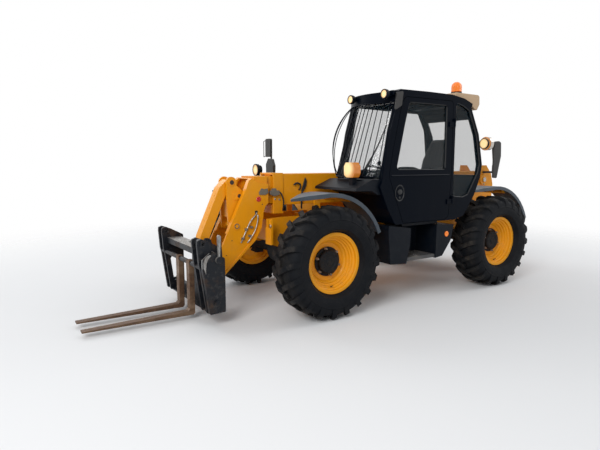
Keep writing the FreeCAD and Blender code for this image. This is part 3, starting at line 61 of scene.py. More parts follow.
class Value:
    """A number that changes over a surface. Sums and products of it add Math nodes."""

    def __init__(self, finish, socket):
        self.finish = finish
        self.socket = socket

    def math(self, operation, *others):
        inputs = dict(enumerate((self, *others)))
        return self.finish.add("Math", {"operation": operation}, inputs)

    def __add__(self, other):
        return self.math("ADD", other)

    def __mul__(self, other):
        return self.math("MULTIPLY", other)

    def __sub__(self, other):
        return self.math("SUBTRACT", other)

    def __rsub__(self, other):
        return self.finish.add("Math", {"operation": "SUBTRACT"}, {0: other, 1: self})

    def __truediv__(self, other):
        return self.math("DIVIDE", other)

    def __pow__(self, other):
        return self.math("POWER", other)


class Finish:
    """One material while its nodes are being wired."""

    def __init__(self, name, world=None):
        self.material = world or bpy.data.materials.new(name)
        self.material.use_nodes = True
        self.tree = self.material.node_tree
        self.tree.nodes.clear()

    def add(self, kind, settings=None, inputs=None, output=0):
        """A node by type, with its settings and then its inputs. Gives one of its outputs."""
        item = self.tree.nodes.new("ShaderNode" + kind)
        for name, setting in (settings or {}).items():
            setattr(item, name, setting)
        for name, given in (inputs or {}).items():
            if isinstance(given, Value):
                self.tree.links.new(given.socket, item.inputs[name])
            else:
                item.inputs[name].default_value = given
        return Value(self, item.outputs[output]) if len(item.outputs) else None

    def place(self, kind="Object"):
        """A surface point on the machine, in metres, or the normal there."""
        return self.add("TexCoord", output=kind)

    def part(self, letter, vector=None):
        """One coordinate of a surface point or of a vector."""
        return self.add("SeparateXYZ", None, {0: vector or self.place()}, output="XYZ".index(letter))

    def noise(self, scale, detail=4, rough=0.6, stretch=None):
        """Soft random clouds from 0 to 1, as many to the metre as the scale says."""
        where = self.place()
        if stretch:
            where = self.add("Mapping", None, {"Vector": where, "Scale": stretch})
        inputs = {"Vector": where, "Scale": scale, "Detail": detail, "Roughness": rough}
        return self.add("TexNoise", None, inputs)

    def ripple(self, letter, pace):
        """A sine wave along one coordinate, its pace in radians to the metre."""
        return (self.part(letter) * pace).math("SINE")

    def step(self, value, low, high):
        """A value spread smoothly from 0 to 1 between two limits and held beyond them."""
        inputs = {"Value": value, "From Min": low, "From Max": high}
        return self.add("MapRange", {"interpolation_type": "SMOOTHSTEP"}, inputs)

    def mix(self, share, first, second):
        """One colour into another."""
        first, second = [(*c, 1) if isinstance(c, tuple) else c for c in (first, second)]
        return self.add("Mix", {"data_type": "RGBA"}, {0: share, 6: first, 7: second}, output=2)

    def bump(self, height, depth, under=None):
        """A normal with a relief of that depth in metres, over another normal."""
        inputs = {"Height": height, "Distance": depth}
        if under is not None:
            inputs["Normal"] = under
        return self.add("Bump", None, inputs)

    def shader(self, colour, rough, normal=None, **fixed):
        """The main shader. Fixed settings are set on its own sockets."""
        base = (*colour, 1) if isinstance(colour, tuple) else colour
        inputs = {"Base Color": base, "Roughness": rough}
        if normal is not None:
            inputs["Normal"] = normal
        for name, given in fixed.items():
            inputs[name.replace("_", " ").title().replace("Ior", "IOR")] = given
        return self.add("BsdfPrincipled", None, inputs)

    def surface(self, colour, rough, normal=None, **fixed):
        """The finished material of one shader."""
        self.add("OutputMaterial", None, {"Surface": self.shader(colour, rough, normal, **fixed)})
        return self.material


# Room: a pale floor under plain soft light from three large lamps. The floor runs out
# into the white that the camera and mirror-like surfaces see behind the machine.
bpy.context.scene.view_settings.view_transform = "Standard"
room_white = 0.80
floor_reach = 40
fade_start, fade_end = 3.6, 9.5
floor_corners = [(x * floor_reach, y * floor_reach, 0) for x, y in ((-1, -1), (1, -1), (1, 1), (-1, 1))]
floor_mesh = bpy.data.meshes.new("floor")
floor_mesh.from_pydata(floor_corners, [], [(0, 1, 2, 3)])
floor = bpy.data.objects.new("floor", floor_mesh)
bpy.context.scene.collection.objects.link(floor)
floor_finish = Finish("pale_floor")
out = (floor_finish.part("X") ** 2.0 + floor_finish.part("Y") ** 2.0) ** 0.5
fade = floor_finish.step(out, fade_start, fade_end)
floor_finish.add("OutputMaterial", None, {"Surface": floor_finish.add("MixShader", None, {
    0: fade,
    1: floor_finish.shader((room_white, room_white, room_white), 0.9, specular_ior_level=0.1),
    2: floor_finish.add("BsdfTransparent"),
})})
floor_mesh.materials.append(floor_finish.material)

world = bpy.data.worlds.new("room")
bpy.context.scene.world = world
sky = Finish("sky", world)
seen = sky.add("LightPath", output="Is Camera Ray")
for kind in ("Is Glossy Ray", "Is Transmission Ray"):
    seen = seen.math("MAXIMUM", sky.add("LightPath", output=kind))
sky_colour = sky.mix(seen, (0.93, 0.96, 1.0), (1.0, 1.0, 1.0))
backdrop = sky.add("Background", None, {"Color": sky_colour, "Strength": seen * 0.45 + 0.55})
sky.add("OutputWorld", None, {"Surface": backdrop})

ROOM_LAMPS = [
    ("front_lamp", (6.5, -9.5, 7.5), 5.0, 820),
    ("side_lamp", (-8.0, -3.0, 7.0), 6.0, 300),
    ("rear_lamp", (3.0, 9.0, 8.0), 6.0, 300),
]
lit_place = Vector((0, 0, 0.8))
for name, stand, width, power in ROOM_LAMPS:
    lamp = bpy.data.objects.new(name, bpy.data.lights.new(name, "AREA"))
    bpy.context.scene.collection.objects.link(lamp)
    lamp.data.size = width
    lamp.data.energy = power
    lamp.location = stand
    lamp.rotation_euler = (lit_place - Vector(stand)).to_track_quat("-Z", "Y").to_euler()

# Yellow weldments: chassis, towers, mudguard brackets, counterweight, engine tray and
# bonnet. Sheet and plate steel with broken edges, under a gloss coat that is dusty low
# down and chipped in places.


def worn_paint(name, colour, rough, dust=(0.20, 0.15, 0.10), dusty=0.35, chipped=0.5, coat=0.12, shine=0.25):
    """Gloss paint with faded clouds, dust on what faces up or is low, and small chips."""
    finish = Finish(name)
    cloud = finish.step(finish.noise(1.7, 3), 0.35, 0.7)
    faded = finish.mix(cloud * 0.25, colour, tuple(min(1.0, c * 1.2) for c in colour))
    low_down = finish.step(finish.part("Z"), 1.25, 0.25)
    up = finish.step(finish.part("Z", finish.place("Normal")), 0.3, 0.95)
    speckle = finish.step(finish.noise(14, 8, 0.75), 0.42, 0.72)
    streak = finish.step(finish.noise(6, 6, 0.7, (1, 1, 0.12)), 0.50, 0.72)
    dirt = ((low_down * 0.7 + up * 0.35) * speckle + streak * 0.25).math("MINIMUM", 1.0) * dusty
    dirty = finish.mix(dirt, faded, dust)
    chip_spots = finish.step(finish.noise(38, 6, 0.8), 0.70, 0.73)
    chips = chip_spots * finish.step(finish.noise(3, 3), 0.48, 0.6) * chipped
    chipped_colour = finish.mix(chips, dirty, (0.07, 0.035, 0.02))
    peel = finish.bump(finish.noise(55, 3), 0.0009)
    relief = finish.bump(chips, -0.0006, peel)
    dulled = (finish.noise(7, 5) * 0.18 + dirt * 0.5 + chips * 0.3 + rough).math("MINIMUM", 0.95)
    return finish.surface(
        chipped_colour, dulled, relief, coat_weight=coat, coat_roughness=0.12, specular_ior_level=shine,
    )


def break_edges(piece, width, angle):
    """Bevel the sharp edges, as a grinder or a press tool leaves them."""
    edge = piece.modifiers.new("edge", "BEVEL")
    edge.width = width
    edge.segments = 2
    edge.limit_method = "ANGLE"
    edge.angle_limit = math.radians(angle)
    edge.harden_normals = True


def soften(node, material, width=0.003, angle=38):
    """Give a solid its finish, smooth shading and broken edges."""
    piece = nodes[node]
    piece.data.materials.clear()
    piece.data.materials.append(material)
    for face in piece.data.polygons:
        face.material_index = 0
        face.use_smooth = True
    weld = piece.modifiers.new("weld", "WELD")
    weld.merge_threshold = 0.00002
    flat = piece.modifiers.new("flat", "DECIMATE")
    flat.decimate_type = "DISSOLVE"
    flat.angle_limit = math.radians(0.6)
    flat.delimit = {"MATERIAL"}
    if width:
        break_edges(piece, width, angle)
    piece.modifiers.new("shade", "WEIGHTED_NORMAL").keep_sharp = True


def repaint(node, material, chosen):
    """Give the faces of a solid that a test picks, by centre and normal, another finish."""
    piece = nodes[node]
    piece.data.materials.append(material)
    for face in piece.data.polygons:
        if chosen(face.center, face.normal):
            face.material_index = len(piece.data.materials) - 1


yellow = worn_paint("yellow_paint", (0.78, 0.30, 0.003), 0.34)
for node, width in (
    ("chassis_frame", 0.004), ("chassis_crossmembers", 0.003), ("boom_tower", 0.004),
    ("counterweight", 0.008), ("mudguard_brackets", 0.003), ("engine_tray", 0.003), ("engine_bonnet", 0.006),
):
    soften(node, yellow, width)

front_axle_y, rear_axle_y, hub_height = -0.740, 2.010, 0.605
sharp_angle = 35
SIDES = ((1, "left"), (-1, "right"))


def spot(x, y, z):
    """A place whose second number is measured rearwards from the front axle."""
    return Vector((x, y + front_axle_y, z))


def spots(points):
    """Places along a line, measured like those of spot."""
    return [spot(*point) for point in points]


def flank(points):
    """An outline seen from the side, its first numbers measured rearwards from the front axle."""
    return [(y + front_axle_y, z) for y, z in points]


class Form:
    """A small piece while its mesh is being made."""

    def __init__(self):
        self.mesh = bmesh.new()

    def ring(self, points):
        """Corners of one section."""
        return [self.mesh.verts.new(point) for point in points]

    def skin(self, rings):
        """Faces between neighbouring sections, and over both ends."""
        for low, high in zip(rings, rings[1:]):
            for step in range(len(low)):
                self.mesh.faces.new((low[step - 1], low[step], high[step], high[step - 1]))
        self.mesh.faces.new(rings[0][::-1])
        self.mesh.faces.new(rings[-1])
        return self

    def turned(self, centre, axis, profile, around=20):
        """A turned shape: profile gives (along the axis, radius) from one end to the other."""
        along, centre = Vector(axis).normalized(), Vector(centre)
        side = along.orthogonal().normalized()
        up = along.cross(side)
        turns = [2 * math.pi * (step + 0.5) / around for step in range(around)]
        return self.skin([self.ring(
            centre + along * reach + (side * math.cos(turn) + up * math.sin(turn)) * radius for turn in turns
        ) for reach, radius in profile])

    def pressed(self, outline, axis, low, high):
        """A flat shape cut from plate: its outline across an axis, from low to high along it."""
        index = "XYZ".index(axis)
        rings = []
        for level in (low, high):
            corners = [list(corner) for corner in outline]
            for corner in corners:
                corner.insert(index, level)
            rings.append(self.ring(corners))
        return self.skin(rings)

    def made(self, name, material, body, slot, width=0):
        """The finished piece on the body that it moves with, its edges broken where a width is given."""
        bmesh.ops.recalc_face_normals(self.mesh, faces=self.mesh.faces)
        mesh = bpy.data.meshes.new(name)
        self.mesh.to_mesh(mesh)
        self.mesh.free()
        mesh.materials.append(material)
        for face in mesh.polygons:
            face.use_smooth = True
        piece = bpy.data.objects.new(name, mesh)
        bpy.context.scene.collection.objects.link(piece)
        if width:
            break_edges(piece, width, sharp_angle)
        else:
            mesh.set_sharp_from_angle(angle=math.radians(sharp_angle))
        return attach(piece, body)


def bolt(form, centre, axis, size):
    """A hexagon head with its washer and the end of its thread. The washer starts a little inside."""
    form.turned(centre, axis, [(-0.002, size * 0.95), (size * 0.16, size * 0.95)], 16)
    for around, profile in (
        (6, ((0.1, 0.72), (0.75, 0.72), (0.85, 0.6))),
        (10, ((0.5, 0.38), (1.1, 0.38), (1.2, 0.3))),
    ):
        form.turned(centre, axis, [(size * reach, size * radius) for reach, radius in profile], around)


def run(name, points, radius, material, body, closed=False):
    """A hose, pipe, bar or seal bent along a smooth line."""
    line = bpy.data.curves.new(name, "CURVE")
    line.dimensions = "3D"
    line.bevel_depth = radius
    line.bevel_resolution = 3
    line.use_fill_caps = True
    spline = line.splines.new("NURBS")
    spline.points.add(len(points) - 1)
    for point, place in zip(spline.points, points):
        point.co = (*place, 1)
    spline.use_cyclic_u = closed
    spline.use_endpoint_u = not closed
    spline.order_u = 3
    spline.resolution_u = 6
    line.materials.append(material)
    piece = bpy.data.objects.new(name, line)
    bpy.context.scene.collection.objects.link(piece)
    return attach(piece, body)


zinc = Finish("zinc_plate")
zinc_dull = zinc.step(zinc.noise(60, 6, 0.7), 0.4, 0.7)
zinc_plated = zinc.surface(
    zinc.mix(zinc_dull, (0.46, 0.45, 0.42), (0.20, 0.17, 0.13)), zinc_dull * 0.3 + 0.3, metallic=0.9,
)
rubber_hose = Finish("hose_rubber")
hose_black = rubber_hose.surface(
    rubber_hose.mix(rubber_hose.noise(30, 5), (0.008, 0.009, 0.010), (0.030, 0.030, 0.031)),
    rubber_hose.noise(20, 4) * 0.2 + 0.4, rubber_hose.bump(rubber_hose.noise(400, 2), 0.0004),
    specular_ior_level=0.3,
)
red_plastic = Finish("red_reflector")
prisms = red_plastic.ripple("Y", 900.0) * red_plastic.ripple("Z", 900.0)
reflector = red_plastic.surface(
    red_plastic.mix(prisms * 0.3 + 0.3, (0.52, 0.015, 0.012), (0.75, 0.06, 0.04)), 0.22,
    red_plastic.bump(prisms, 0.0008), coat_weight=0.5,
)

# Rear of the machine: two tail lamps in the counterweight's pockets, the pin of the
# hitch with its wire handle and four large bolts. Moulded lenses, turned steel.
hitch_rear_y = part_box("counterweight")[1].y
weight_rear_y = hitch_rear_y - 0.060
pocket_y = weight_rear_y - 0.024
pin_y = hitch_rear_y - 0.028
lens_thick = 0.016
tail_lamps = Form()
for side in (1, -1):
    inner, outer = sorted((side * 0.376, side * 0.514))
    outline = [(inner, 0.812), (outer, 0.812), (outer, 0.888), (inner, 0.888)]
    tail_lamps.pressed(outline, "Y", pocket_y, pocket_y + lens_thick)
tail_lamps.made("tail_lamps", reflector, "chassis", "amber", 0.004)
hitch_pin = Form()
for foot, profile in (
    (0.530, [(0, 0.010), (0.01, 0.0145), (0.19, 0.0145)]),
    (0.686, [(0, 0.024), (0.006, 0.026), (0.03, 0.026), (0.034, 0.022)]),
):
    hitch_pin.turned((0, pin_y, foot), (0, 0, 1), profile)
hitch_pin.made("hitch_pin", zinc_plated, "chassis", "chrome")
handle = [(0.0, 0.716), (-0.03, 0.74), (0, 0.775), (0.03, 0.74), (0.0, 0.716)]
run("hitch_pin_handle", [(x, pin_y, z) for x, z in handle], 0.006, zinc_plated, "chassis")
weight_bolts = Form()
for across in (-0.24, 0.24):
    for level in (0.58, 0.74):
        bolt(weight_bolts, (across, weight_rear_y, level), (0, 1, 0), 0.026)
weight_bolts.made("counterweight_bolts", zinc_plated, "chassis", "chrome")

# Axles, knuckles and hubs: castings in black axle paint, oily and dusty, with the
# bolts of the drive casing and of the planetary covers.
axle_black = worn_paint(
    "axle_paint", (0.004, 0.005, 0.007), 0.5, dust=(0.09, 0.07, 0.05), dusty=0.4, coat=0.0, shine=0.2,
)
WHEELS = [(end, side) for end in ("front", "rear") for side in ("left", "right")]
for node in ("front_axle", "rear_axle"):
    soften(node, axle_black, 0.004)
for end, side in WHEELS:
    soften(f"knuckle_{end}_{side}", axle_black, 0.003)
    soften(f"hub_{end}_{side}", axle_black, 0.003, 25)


def bolt_circle(x, axle_y, radius, count, start=0.0):
    """Evenly spaced places about an axle's line."""
    turns = [math.radians(start) + 2 * math.pi * step / count for step in range(count)]
    return [(x, axle_y + radius * math.cos(turn), hub_height + radius * math.sin(turn)) for turn in turns]


drive_bolts = Form()
for axle_y in (front_axle_y, rear_axle_y):
    for side in (1, -1):
        for place in bolt_circle(side * 0.148, axle_y, 0.120, 10):
            bolt(drive_bolts, place, (side, 0, 0), 0.012)
drive_bolts.made("drive_casing_bolts", axle_black, "chassis", "axle_paint")

# Rims: spun and pressed steel in the machine's yellow, with rubbed dirt in the dish,
# held by studs with rusty nuts round the black planetary cover.
rim_yellow = worn_paint("rim_paint", (0.78, 0.31, 0.003), 0.36, dusty=0.25, chipped=0.8)
rust_nut = Finish("rusty_nut")
nut_spots = rust_nut.step(rust_nut.noise(70, 6, 0.75), 0.42, 0.65)
rusty_nuts = rust_nut.surface(
    rust_nut.mix(nut_spots, (0.14, 0.085, 0.055), (0.40, 0.33, 0.27)), nut_spots * -0.2 + 0.6, metallic=0.5,
)
WHEEL_NUT = [
    (0, 0.0165), (0.005, 0.0165), (0.006, 0.0145), (0.022, 0.0145), (0.026, 0.009), (0.036, 0.009),
    (0.038, 0.007),
]
COVER_BOLT = [(0, 0.008), (0.008, 0.008), (0.010, 0.006)]
VALVE = [(0, 0.006), (0.02, 0.006), (0.022, 0.0045), (0.045, 0.0045)]
for end, side in WHEELS:
    soften(f"rim_{end}_{side}", rim_yellow, 0.002, 30)
    sign = 1 if side == "left" else -1
    axle_y = front_axle_y if end == "front" else rear_axle_y
    nuts, cover_bolts, valve = Form(), Form(), Form()
    for place in bolt_circle(sign * 0.924, axle_y, 0.147, 6, 42):
        nuts.turned(place, (sign, 0, 0), WHEEL_NUT, 12)
    for place in bolt_circle(sign * 0.968, axle_y, 0.100, 10):
        cover_bolts.turned(place, (sign, 0, 0), COVER_BOLT, 6)
    valve.turned((sign * 1.000, axle_y - 0.010, hub_height - 0.262), (sign, 0, 0.5), VALVE, 10)
    body = f"wheel_{end}_{side}"
    nuts.made(f"wheel_nuts_{end}_{side}", rusty_nuts, body, "chrome")
    cover_bolts.made(f"cover_bolts_{end}_{side}", axle_black, body, "axle_paint")
    valve.made(f"valve_{end}_{side}", hose_black, body, "rubber")

# Tyres: black rubber with moulded rings on the sidewalls, browner and greyer on the
# lugs where the ground has polished them.


def tyre_rubber(name, axle_y):
    """Rubber ringed about an axle's line, dusty where the lugs are."""
    finish = Finish(name)
    across = (finish.part("Y") - axle_y) ** 2.0
    radius = ((finish.part("Z") - hub_height) ** 2.0 + across) ** 0.5
    tread = finish.step(radius, 0.540, 0.600)
    mottled = finish.step(finish.noise(9, 8, 0.75), 0.35, 0.75)
    fine = finish.noise(60, 6, 0.7)
    base = finish.mix(mottled * 0.5, (0.0045, 0.0055, 0.0075), (0.014, 0.014, 0.015))
    dusty = finish.mix(tread * mottled * 0.65, base, (0.060, 0.050, 0.040))
    sidewall = finish.step(radius, 0.50, 0.46) * finish.step(radius, 0.345, 0.36)
    rings = (radius * 420.0).math("SINE") * sidewall
    bead = finish.step(((radius - 0.470) * 90.0).math("ABSOLUTE"), 1.0, 0.0)
    relief = finish.bump(rings, 0.0006, finish.bump(fine, 0.0012, finish.bump(bead, 0.004)))
    return finish.surface(dusty, finish.noise(5, 3) * 0.2 + 0.55, relief, specular_ior_level=0.12)


for end, axle_y in (("front", front_axle_y), ("rear", rear_axle_y)):
    rubber = tyre_rubber(f"{end}_tyre_rubber", axle_y)
    for side in ("left", "right"):
        soften(f"tyre_{end}_{side}", rubber, 0.004, 42)

# Headstock, fork frame and forks: bare-worn black steel, rusty where loads rub it. The
# hook, the handle and the edges of the end plates are rubbed to pale metal.
worn_steel = Finish("worn_black_steel")
rubbed = worn_steel.step(worn_steel.noise(16, 8, 0.75), 0.5, 0.7)
rusted = worn_steel.step(worn_steel.noise(5, 6, 0.7), 0.5, 0.68)
steel_colour = worn_steel.mix(rusted * 0.7, (0.007, 0.009, 0.013), (0.070, 0.040, 0.024))
steel_colour = worn_steel.mix(rubbed * 0.35, steel_colour, (0.12, 0.11, 0.10))
worn_black = worn_steel.surface(
    steel_colour, rusted * 0.3 + 0.42, worn_steel.bump(worn_steel.noise(45, 7, 0.8), 0.0016),
    metallic=0.3, specular_ior_level=0.35,
)
for node in ("headstock", "fork_frame"):
    soften(node, worn_black, 0.004)

bare = Finish("bare_worn_steel")
scratches = bare.step(bare.noise(20, 8, 0.8, (1, 4, 1)), 0.40, 0.66)
bare_steel = bare.surface(
    bare.mix(scratches, (0.34, 0.34, 0.33), (0.13, 0.10, 0.08)), scratches * 0.3 + 0.38,
    bare.bump(scratches, 0.0006), metallic=0.6,
)
plate_inner, plate_outer = 0.607, 0.632
edge_foot, bar_foot, handle_foot = 0.55, 0.76, 0.79


def rubbed_bare(centre, normal):
    """Whether a face is on the left end plate's handle or edge, or on top of the upper bar."""
    on_edge = centre.z > handle_foot or (centre.z > edge_foot and -0.5 < normal.x < 0.5)
    on_bar = normal.z > 0.9 and bar_foot < centre.z < handle_foot
    return (plate_inner < centre.x < plate_outer and on_edge) or on_bar


repaint("fork_frame", bare_steel, rubbed_bare)
worn_edge = Form()
worn_edge.pressed(flank((
    (-1.290, 0.627), (-1.290, 0.678), (-1.281, 0.712), (-1.258, 0.738), (-1.226, 0.752), (-1.210, 0.750),
    (-1.208, 0.742), (-1.222, 0.730), (-1.242, 0.706), (-1.257, 0.673), (-1.264, 0.609), (-1.265, 0.560),
)), "X", 0.6322, 0.6342)
worn_edge.made("frame_worn_edge", bare_steel, "carriage", "worn_black_steel", 0.0008)

rust = Finish("fork_rust")
scale_spots = rust.step(rust.noise(30, 8, 0.8), 0.4, 0.7)
long_wear = rust.step(rust.noise(4, 6, 0.7, (1, 0.15, 1)), 0.42, 0.66)
rust_colour = rust.mix(scale_spots, (0.120, 0.062, 0.032), (0.045, 0.026, 0.018))
rust_colour = rust.mix(long_wear * 0.7, rust_colour, (0.24, 0.16, 0.10))
fork_rust = rust.surface(
    rust_colour, 0.62 - long_wear * 0.2, rust.bump(scale_spots, 0.0010),
    metallic=0.25, specular_ior_level=0.3,
)
soften("forks", fork_rust, 0.005)
carriage_pins, link_pins = Form(), Form()
PIN_CAP = [(0, 0.044), (0.010, 0.044), (0.012, 0.028), (0.024, 0.026)]
for side in (1, -1):
    carriage_pins.turned(spot(side * 0.194, -0.980, 0.430), (side, 0, 0), PIN_CAP)
    bolt(link_pins, spot(side * 0.134, -1.050, 0.790), (side, 0, 0), 0.022)
carriage_pins.made("carriage_pin_caps", rusty_nuts, "inner_boom", "chrome", 0.001)
link_pins.made("link_pin_bolts", rusty_nuts, "carriage", "chrome", 0.001)

# Boom, nose, tilt lever and link: boxes and plates welded in the same yellow. The nose
# carries pipes with clamps, pin ends, brackets and a round reflector.
for node, width in (
    ("boom_outer", 0.005), ("boom_inner", 0.004), ("tilt_lever", 0.004), ("tilt_link", 0.005),
):
    soften(node, yellow, width)
cast = Finish("cast_bracket")
bracket_grey = cast.surface(
    cast.mix(cast.noise(20, 6), (0.22, 0.19, 0.15), (0.11, 0.10, 0.085)), 0.55,
    cast.bump(cast.noise(90, 5), 0.001), metallic=0.2,
)
# Near-black with rust-brown: rusty steel on the lever's pin ends, painted shade in the nose's holes.
hole_shade_and_rust_finish = Finish("rust_and_painted_hole_shade")
rust_and_hole_shade = hole_shade_and_rust_finish.surface(
    hole_shade_and_rust_finish.mix(hole_shade_and_rust_finish.noise(60, 5), (0.010, 0.008, 0.007), (0.050, 0.030, 0.020)), 0.7,
)
LEVER_PINS = [(-1.475, 1.443), (-1.387, 1.291)]
lever_face_x, pin_radius = 0.108, 0.027


def lever_pin(centre, normal):
    """Whether a face is the end of one of the lever's two pins."""
    sideways = abs(normal.x) > 0.5 and abs(centre.x) > lever_face_x
    return sideways and any(math.hypot(centre.y - y, centre.z - z) < pin_radius for y, z in LEVER_PINS)


repaint("tilt_lever", rust_and_hole_shade, lever_pin)
nose_x = 0.1955
LEVER_PIN_END = [(0, 0.030), (0.0065, 0.030), (0.0065, 0.021), (0.001, 0.019), (0.001, 0.006)]
SMALL_HOLES = [(-0.395, 1.188, 0.007), (-0.780, 0.800, 0.006), (-0.850, 0.640, 0.006)]
HOSE_HOLE = flank(((-0.493, 1.118), (-0.462, 1.122), (-0.452, 1.106), (-0.470, 1.078), (-0.490, 1.084)))
CLAMP = [(-0.018, -0.010), (0.018, -0.014), (0.020, 0.010), (-0.016, 0.014)]
NOSE_PIPES = [
    [(0.199, -0.469, 1.094), (0.209, -0.478, 1.080), (0.211, -0.550, 1.015), (0.211, -0.602, 0.919),
     (0.211, -0.632, 0.860), (0.209, -0.660, 0.795), (0.198, -0.671, 0.768)],
    [(0.198, -0.456, 1.070), (0.209, -0.458, 1.047), (0.211, -0.466, 0.986), (0.211, -0.501, 0.881),
     (0.209, -0.580, 0.778), (0.198, -0.591, 0.762)],
]
for side, name in SIDES:
    pins, pivots, holes = Form(), Form(), Form()
    pivots.turned(spot(side * 0.200, -0.720, 0.959), (side, 0, 0), LEVER_PIN_END)
    # Holes in the nose plate: thin dark discs and a dark plate laid on its face, painted shade for the
    # holes.
    for y, z, radius in SMALL_HOLES:
        holes.turned(spot(side * nose_x, y, z), (side, 0, 0), [(0, radius), (0.0012, radius)], 12)
    holes.pressed(HOSE_HOLE, "X", *sorted((side * nose_x, side * 0.1972)))
    for y, z in ((-0.610, 0.916), (-0.547, 0.938), (-0.653, 0.816), (-0.569, 0.840)):
        outline = [(y + front_axle_y + along, z + up) for along, up in CLAMP]
        pins.pressed(outline, "X", *sorted((side * 0.194, side * 0.218)))
        bolt(pins, spot(side * 0.217, y, z), (side, 0, 0), 0.008)
    pivots.made(f"lever_pin_end_{name}", rusty_nuts, "inner_boom", "chrome")
    holes.made(f"nose_hole_shades_{name}", rust_and_hole_shade, "inner_boom", "yellow_paint")
    pins.made(f"pipe_clamps_{name}", zinc_plated, "inner_boom", "chrome")
    for number, line in enumerate(NOSE_PIPES):
        points = [spot(side * x, y, z) for x, y, z in line]
        run(f"nose_pipe_{name}_{number + 1}", points, 0.0075, zinc_plated, "inner_boom")
red_disc = Form()
red_disc.turned(spot(0.195, -0.441, 1.249), (1, 0, 0), [(0, 0.030), (0.004, 0.030), (0.007, 0.026)], 28)
red_disc.made("nose_reflector", reflector, "inner_boom", "amber")

NOSE_BRACKET = (
    (-0.438, 1.330), (-0.405, 1.372), (-0.372, 1.360), (-0.330, 1.368), (-0.316, 1.318), (-0.360, 1.296),
    (-0.436, 1.300),
)
COLLAR_BRACKET = (
    (-0.289, 1.300), (-0.286, 1.338), (-0.262, 1.343), (-0.246, 1.366), (-0.214, 1.366), (-0.200, 1.340),
    (-0.164, 1.340), (-0.164, 1.290), (-0.230, 1.276),
)
HOSE_GUIDE = (
    (0.214, 1.486), (0.236, 1.440), (0.226, 1.380), (0.196, 1.330), (0.174, 1.302), (0.160, 1.318),
    (0.178, 1.370), (0.196, 1.430),
)
for name, outline, low, high, material, body, slot, width in (
    ("nose_bracket", NOSE_BRACKET, 0.194, 0.207, bracket_grey, "inner_boom", "chrome", 0.002),
    ("collar_bracket", COLLAR_BRACKET, 0.161, 0.196, bracket_grey, "outer_boom", "chrome", 0.002),
    ("boom_hose_guide", HOSE_GUIDE, 0.149, 0.168, hose_black, "outer_boom", "rubber", 0.004),
):
    plate = Form()
    plate.pressed(flank(outline), "X", low, high)
    plate.made(name, material, body, slot, width)
collar_bolts = Form()
for y, z in ((-0.211, 1.239), (-0.149, 1.232)):
    for side in (1, -1):
        bolt(collar_bolts, spot(side * 0.161, y, z), (side, 0, 0), 0.013)
collar_bolts.made("collar_bolts", zinc_plated, "outer_boom", "chrome")
for name, radius, points in (
    ("collar_hose", 0.008, (
        (0.178, -0.175, 1.325), (0.190, -0.150, 1.325), (0.190, -0.110, 1.240), (0.178, -0.100, 1.137),
        (0.150, -0.105, 1.085),
    )),
    ("boom_hook", 0.010, (
        (0.148, 0.130, 1.340), (0.175, 0.130, 1.345), (0.178, 0.140, 1.400), (0.172, 0.100, 1.424),
        (0.168, 0.060, 1.412), (0.168, 0.050, 1.396),
    )),
    ("boom_hose", 0.011, (
        (0.156, 0.176, 1.325), (0.172, 0.160, 1.300), (0.172, 0.150, 1.230), (0.172, 0.155, 1.160),
        (0.150, 0.165, 1.120), (0.120, 0.190, 1.110),
    )),
):
    run(name, spots(points), radius, hose_black, "outer_boom")
boom_pin_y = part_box("boom_tower")[1].y - 0.250
pivot_caps = Form()
for side in (1, -1):
    centre = (side * 0.234, boom_pin_y, 1.400)
    pivot_caps.turned(centre, (side, 0, 0), [(0, 0.036), (0.006, 0.036), (0.008, 0.03)])
    bolt(pivot_caps, (side * 0.222, boom_pin_y, 1.330), (side, 0, 0), 0.014)
pivot_caps.made("boom_pin_caps", zinc_plated, "chassis", "chrome")

# Lift ram: a barrel in the black of the axles and a hard-chromed rod with a film of
# oil. Steel tube and bar.
soften("lift_barrel", axle_black, 0.003, 30)
chrome = Finish("chrome")
chromed = chrome.surface((0.80, 0.80, 0.82), chrome.noise(30, 5) * 0.12 + 0.08, metallic=1.0)
soften("lift_rod", chromed, 0.002, 30)

# Cab shell, door, roof and screen guard: folded sheet and tube in near-black gloss,
# with dust on the sills. The black's blue tint is a painted sheen of the sky.
cab_black = worn_paint(
    "black_paint", (0.0010, 0.0026, 0.0062), 0.22,
    dust=(0.05, 0.047, 0.04), dusty=0.08, chipped=0.08, coat=0.0, shine=0.05,
)
for node, width in (("cab_frame", 0.006), ("cab_door", 0.005), ("cab_roof", 0.012), ("windscreen_guard", 0)):
    soften(node, cab_black, width)


def rounded_run(corners, back):
    """Control points of a closed line through corners, rounded from that far before each."""
    points = []
    for before, corner, after in zip(corners[-1:] + corners, corners, corners[1:] + corners[:1]):
        towards = [corner + (other - corner).normalized() * back for other in (before, after)]
        points += [towards[0], corner, towards[1]]
    return points


DOOR_WINDOW = [(0.885, 1.576), (1.707, 1.574), (1.700, 2.345), (1.066, 2.345), (0.999, 2.085)]
QUARTER_WINDOW = [
    (1.850, 1.236), (2.040, 1.224), (2.138, 1.252), (2.314, 1.520), (2.348, 1.640), (2.264, 2.003),
    (2.110, 2.304), (1.985, 2.360), (1.850, 2.394),
]
RIGHT_WINDOW = [(0.800, 1.560), (2.250, 1.560), (2.180, 2.100), (2.050, 2.330), (0.960, 2.350)]
for name, across, outline, body in (
    ("door_window_seal", 1.0085, DOOR_WINDOW, "door"),
    ("quarter_window_seal", 1.0085, QUARTER_WINDOW, "chassis"),
    ("right_window_seal", 0.204, RIGHT_WINDOW, "chassis"),
):
    corners = [spot(across, y, z) for y, z in outline]
    run(name, rounded_run(corners, 0.040), 0.010, hose_black, body, closed=True)

# Door furniture: an oval dish with a paddle handle and a lock, and a pressed belt
# line. Moulded plastic and folded sheet.
door_face_x, handle_y = 1.0185, 0.945


def oval(form, level, half_wide, half_tall, sections):
    """A rounded pad on the door, each section a distance outwards and a share of the full size."""
    turns = [2 * math.pi * step / 32 for step in range(32)]
    form.skin([form.ring(
        spot(x, handle_y + half_wide * share * math.cos(turn), level + half_tall * share * math.sin(turn))
        for turn in turns
    ) for x, share in sections])


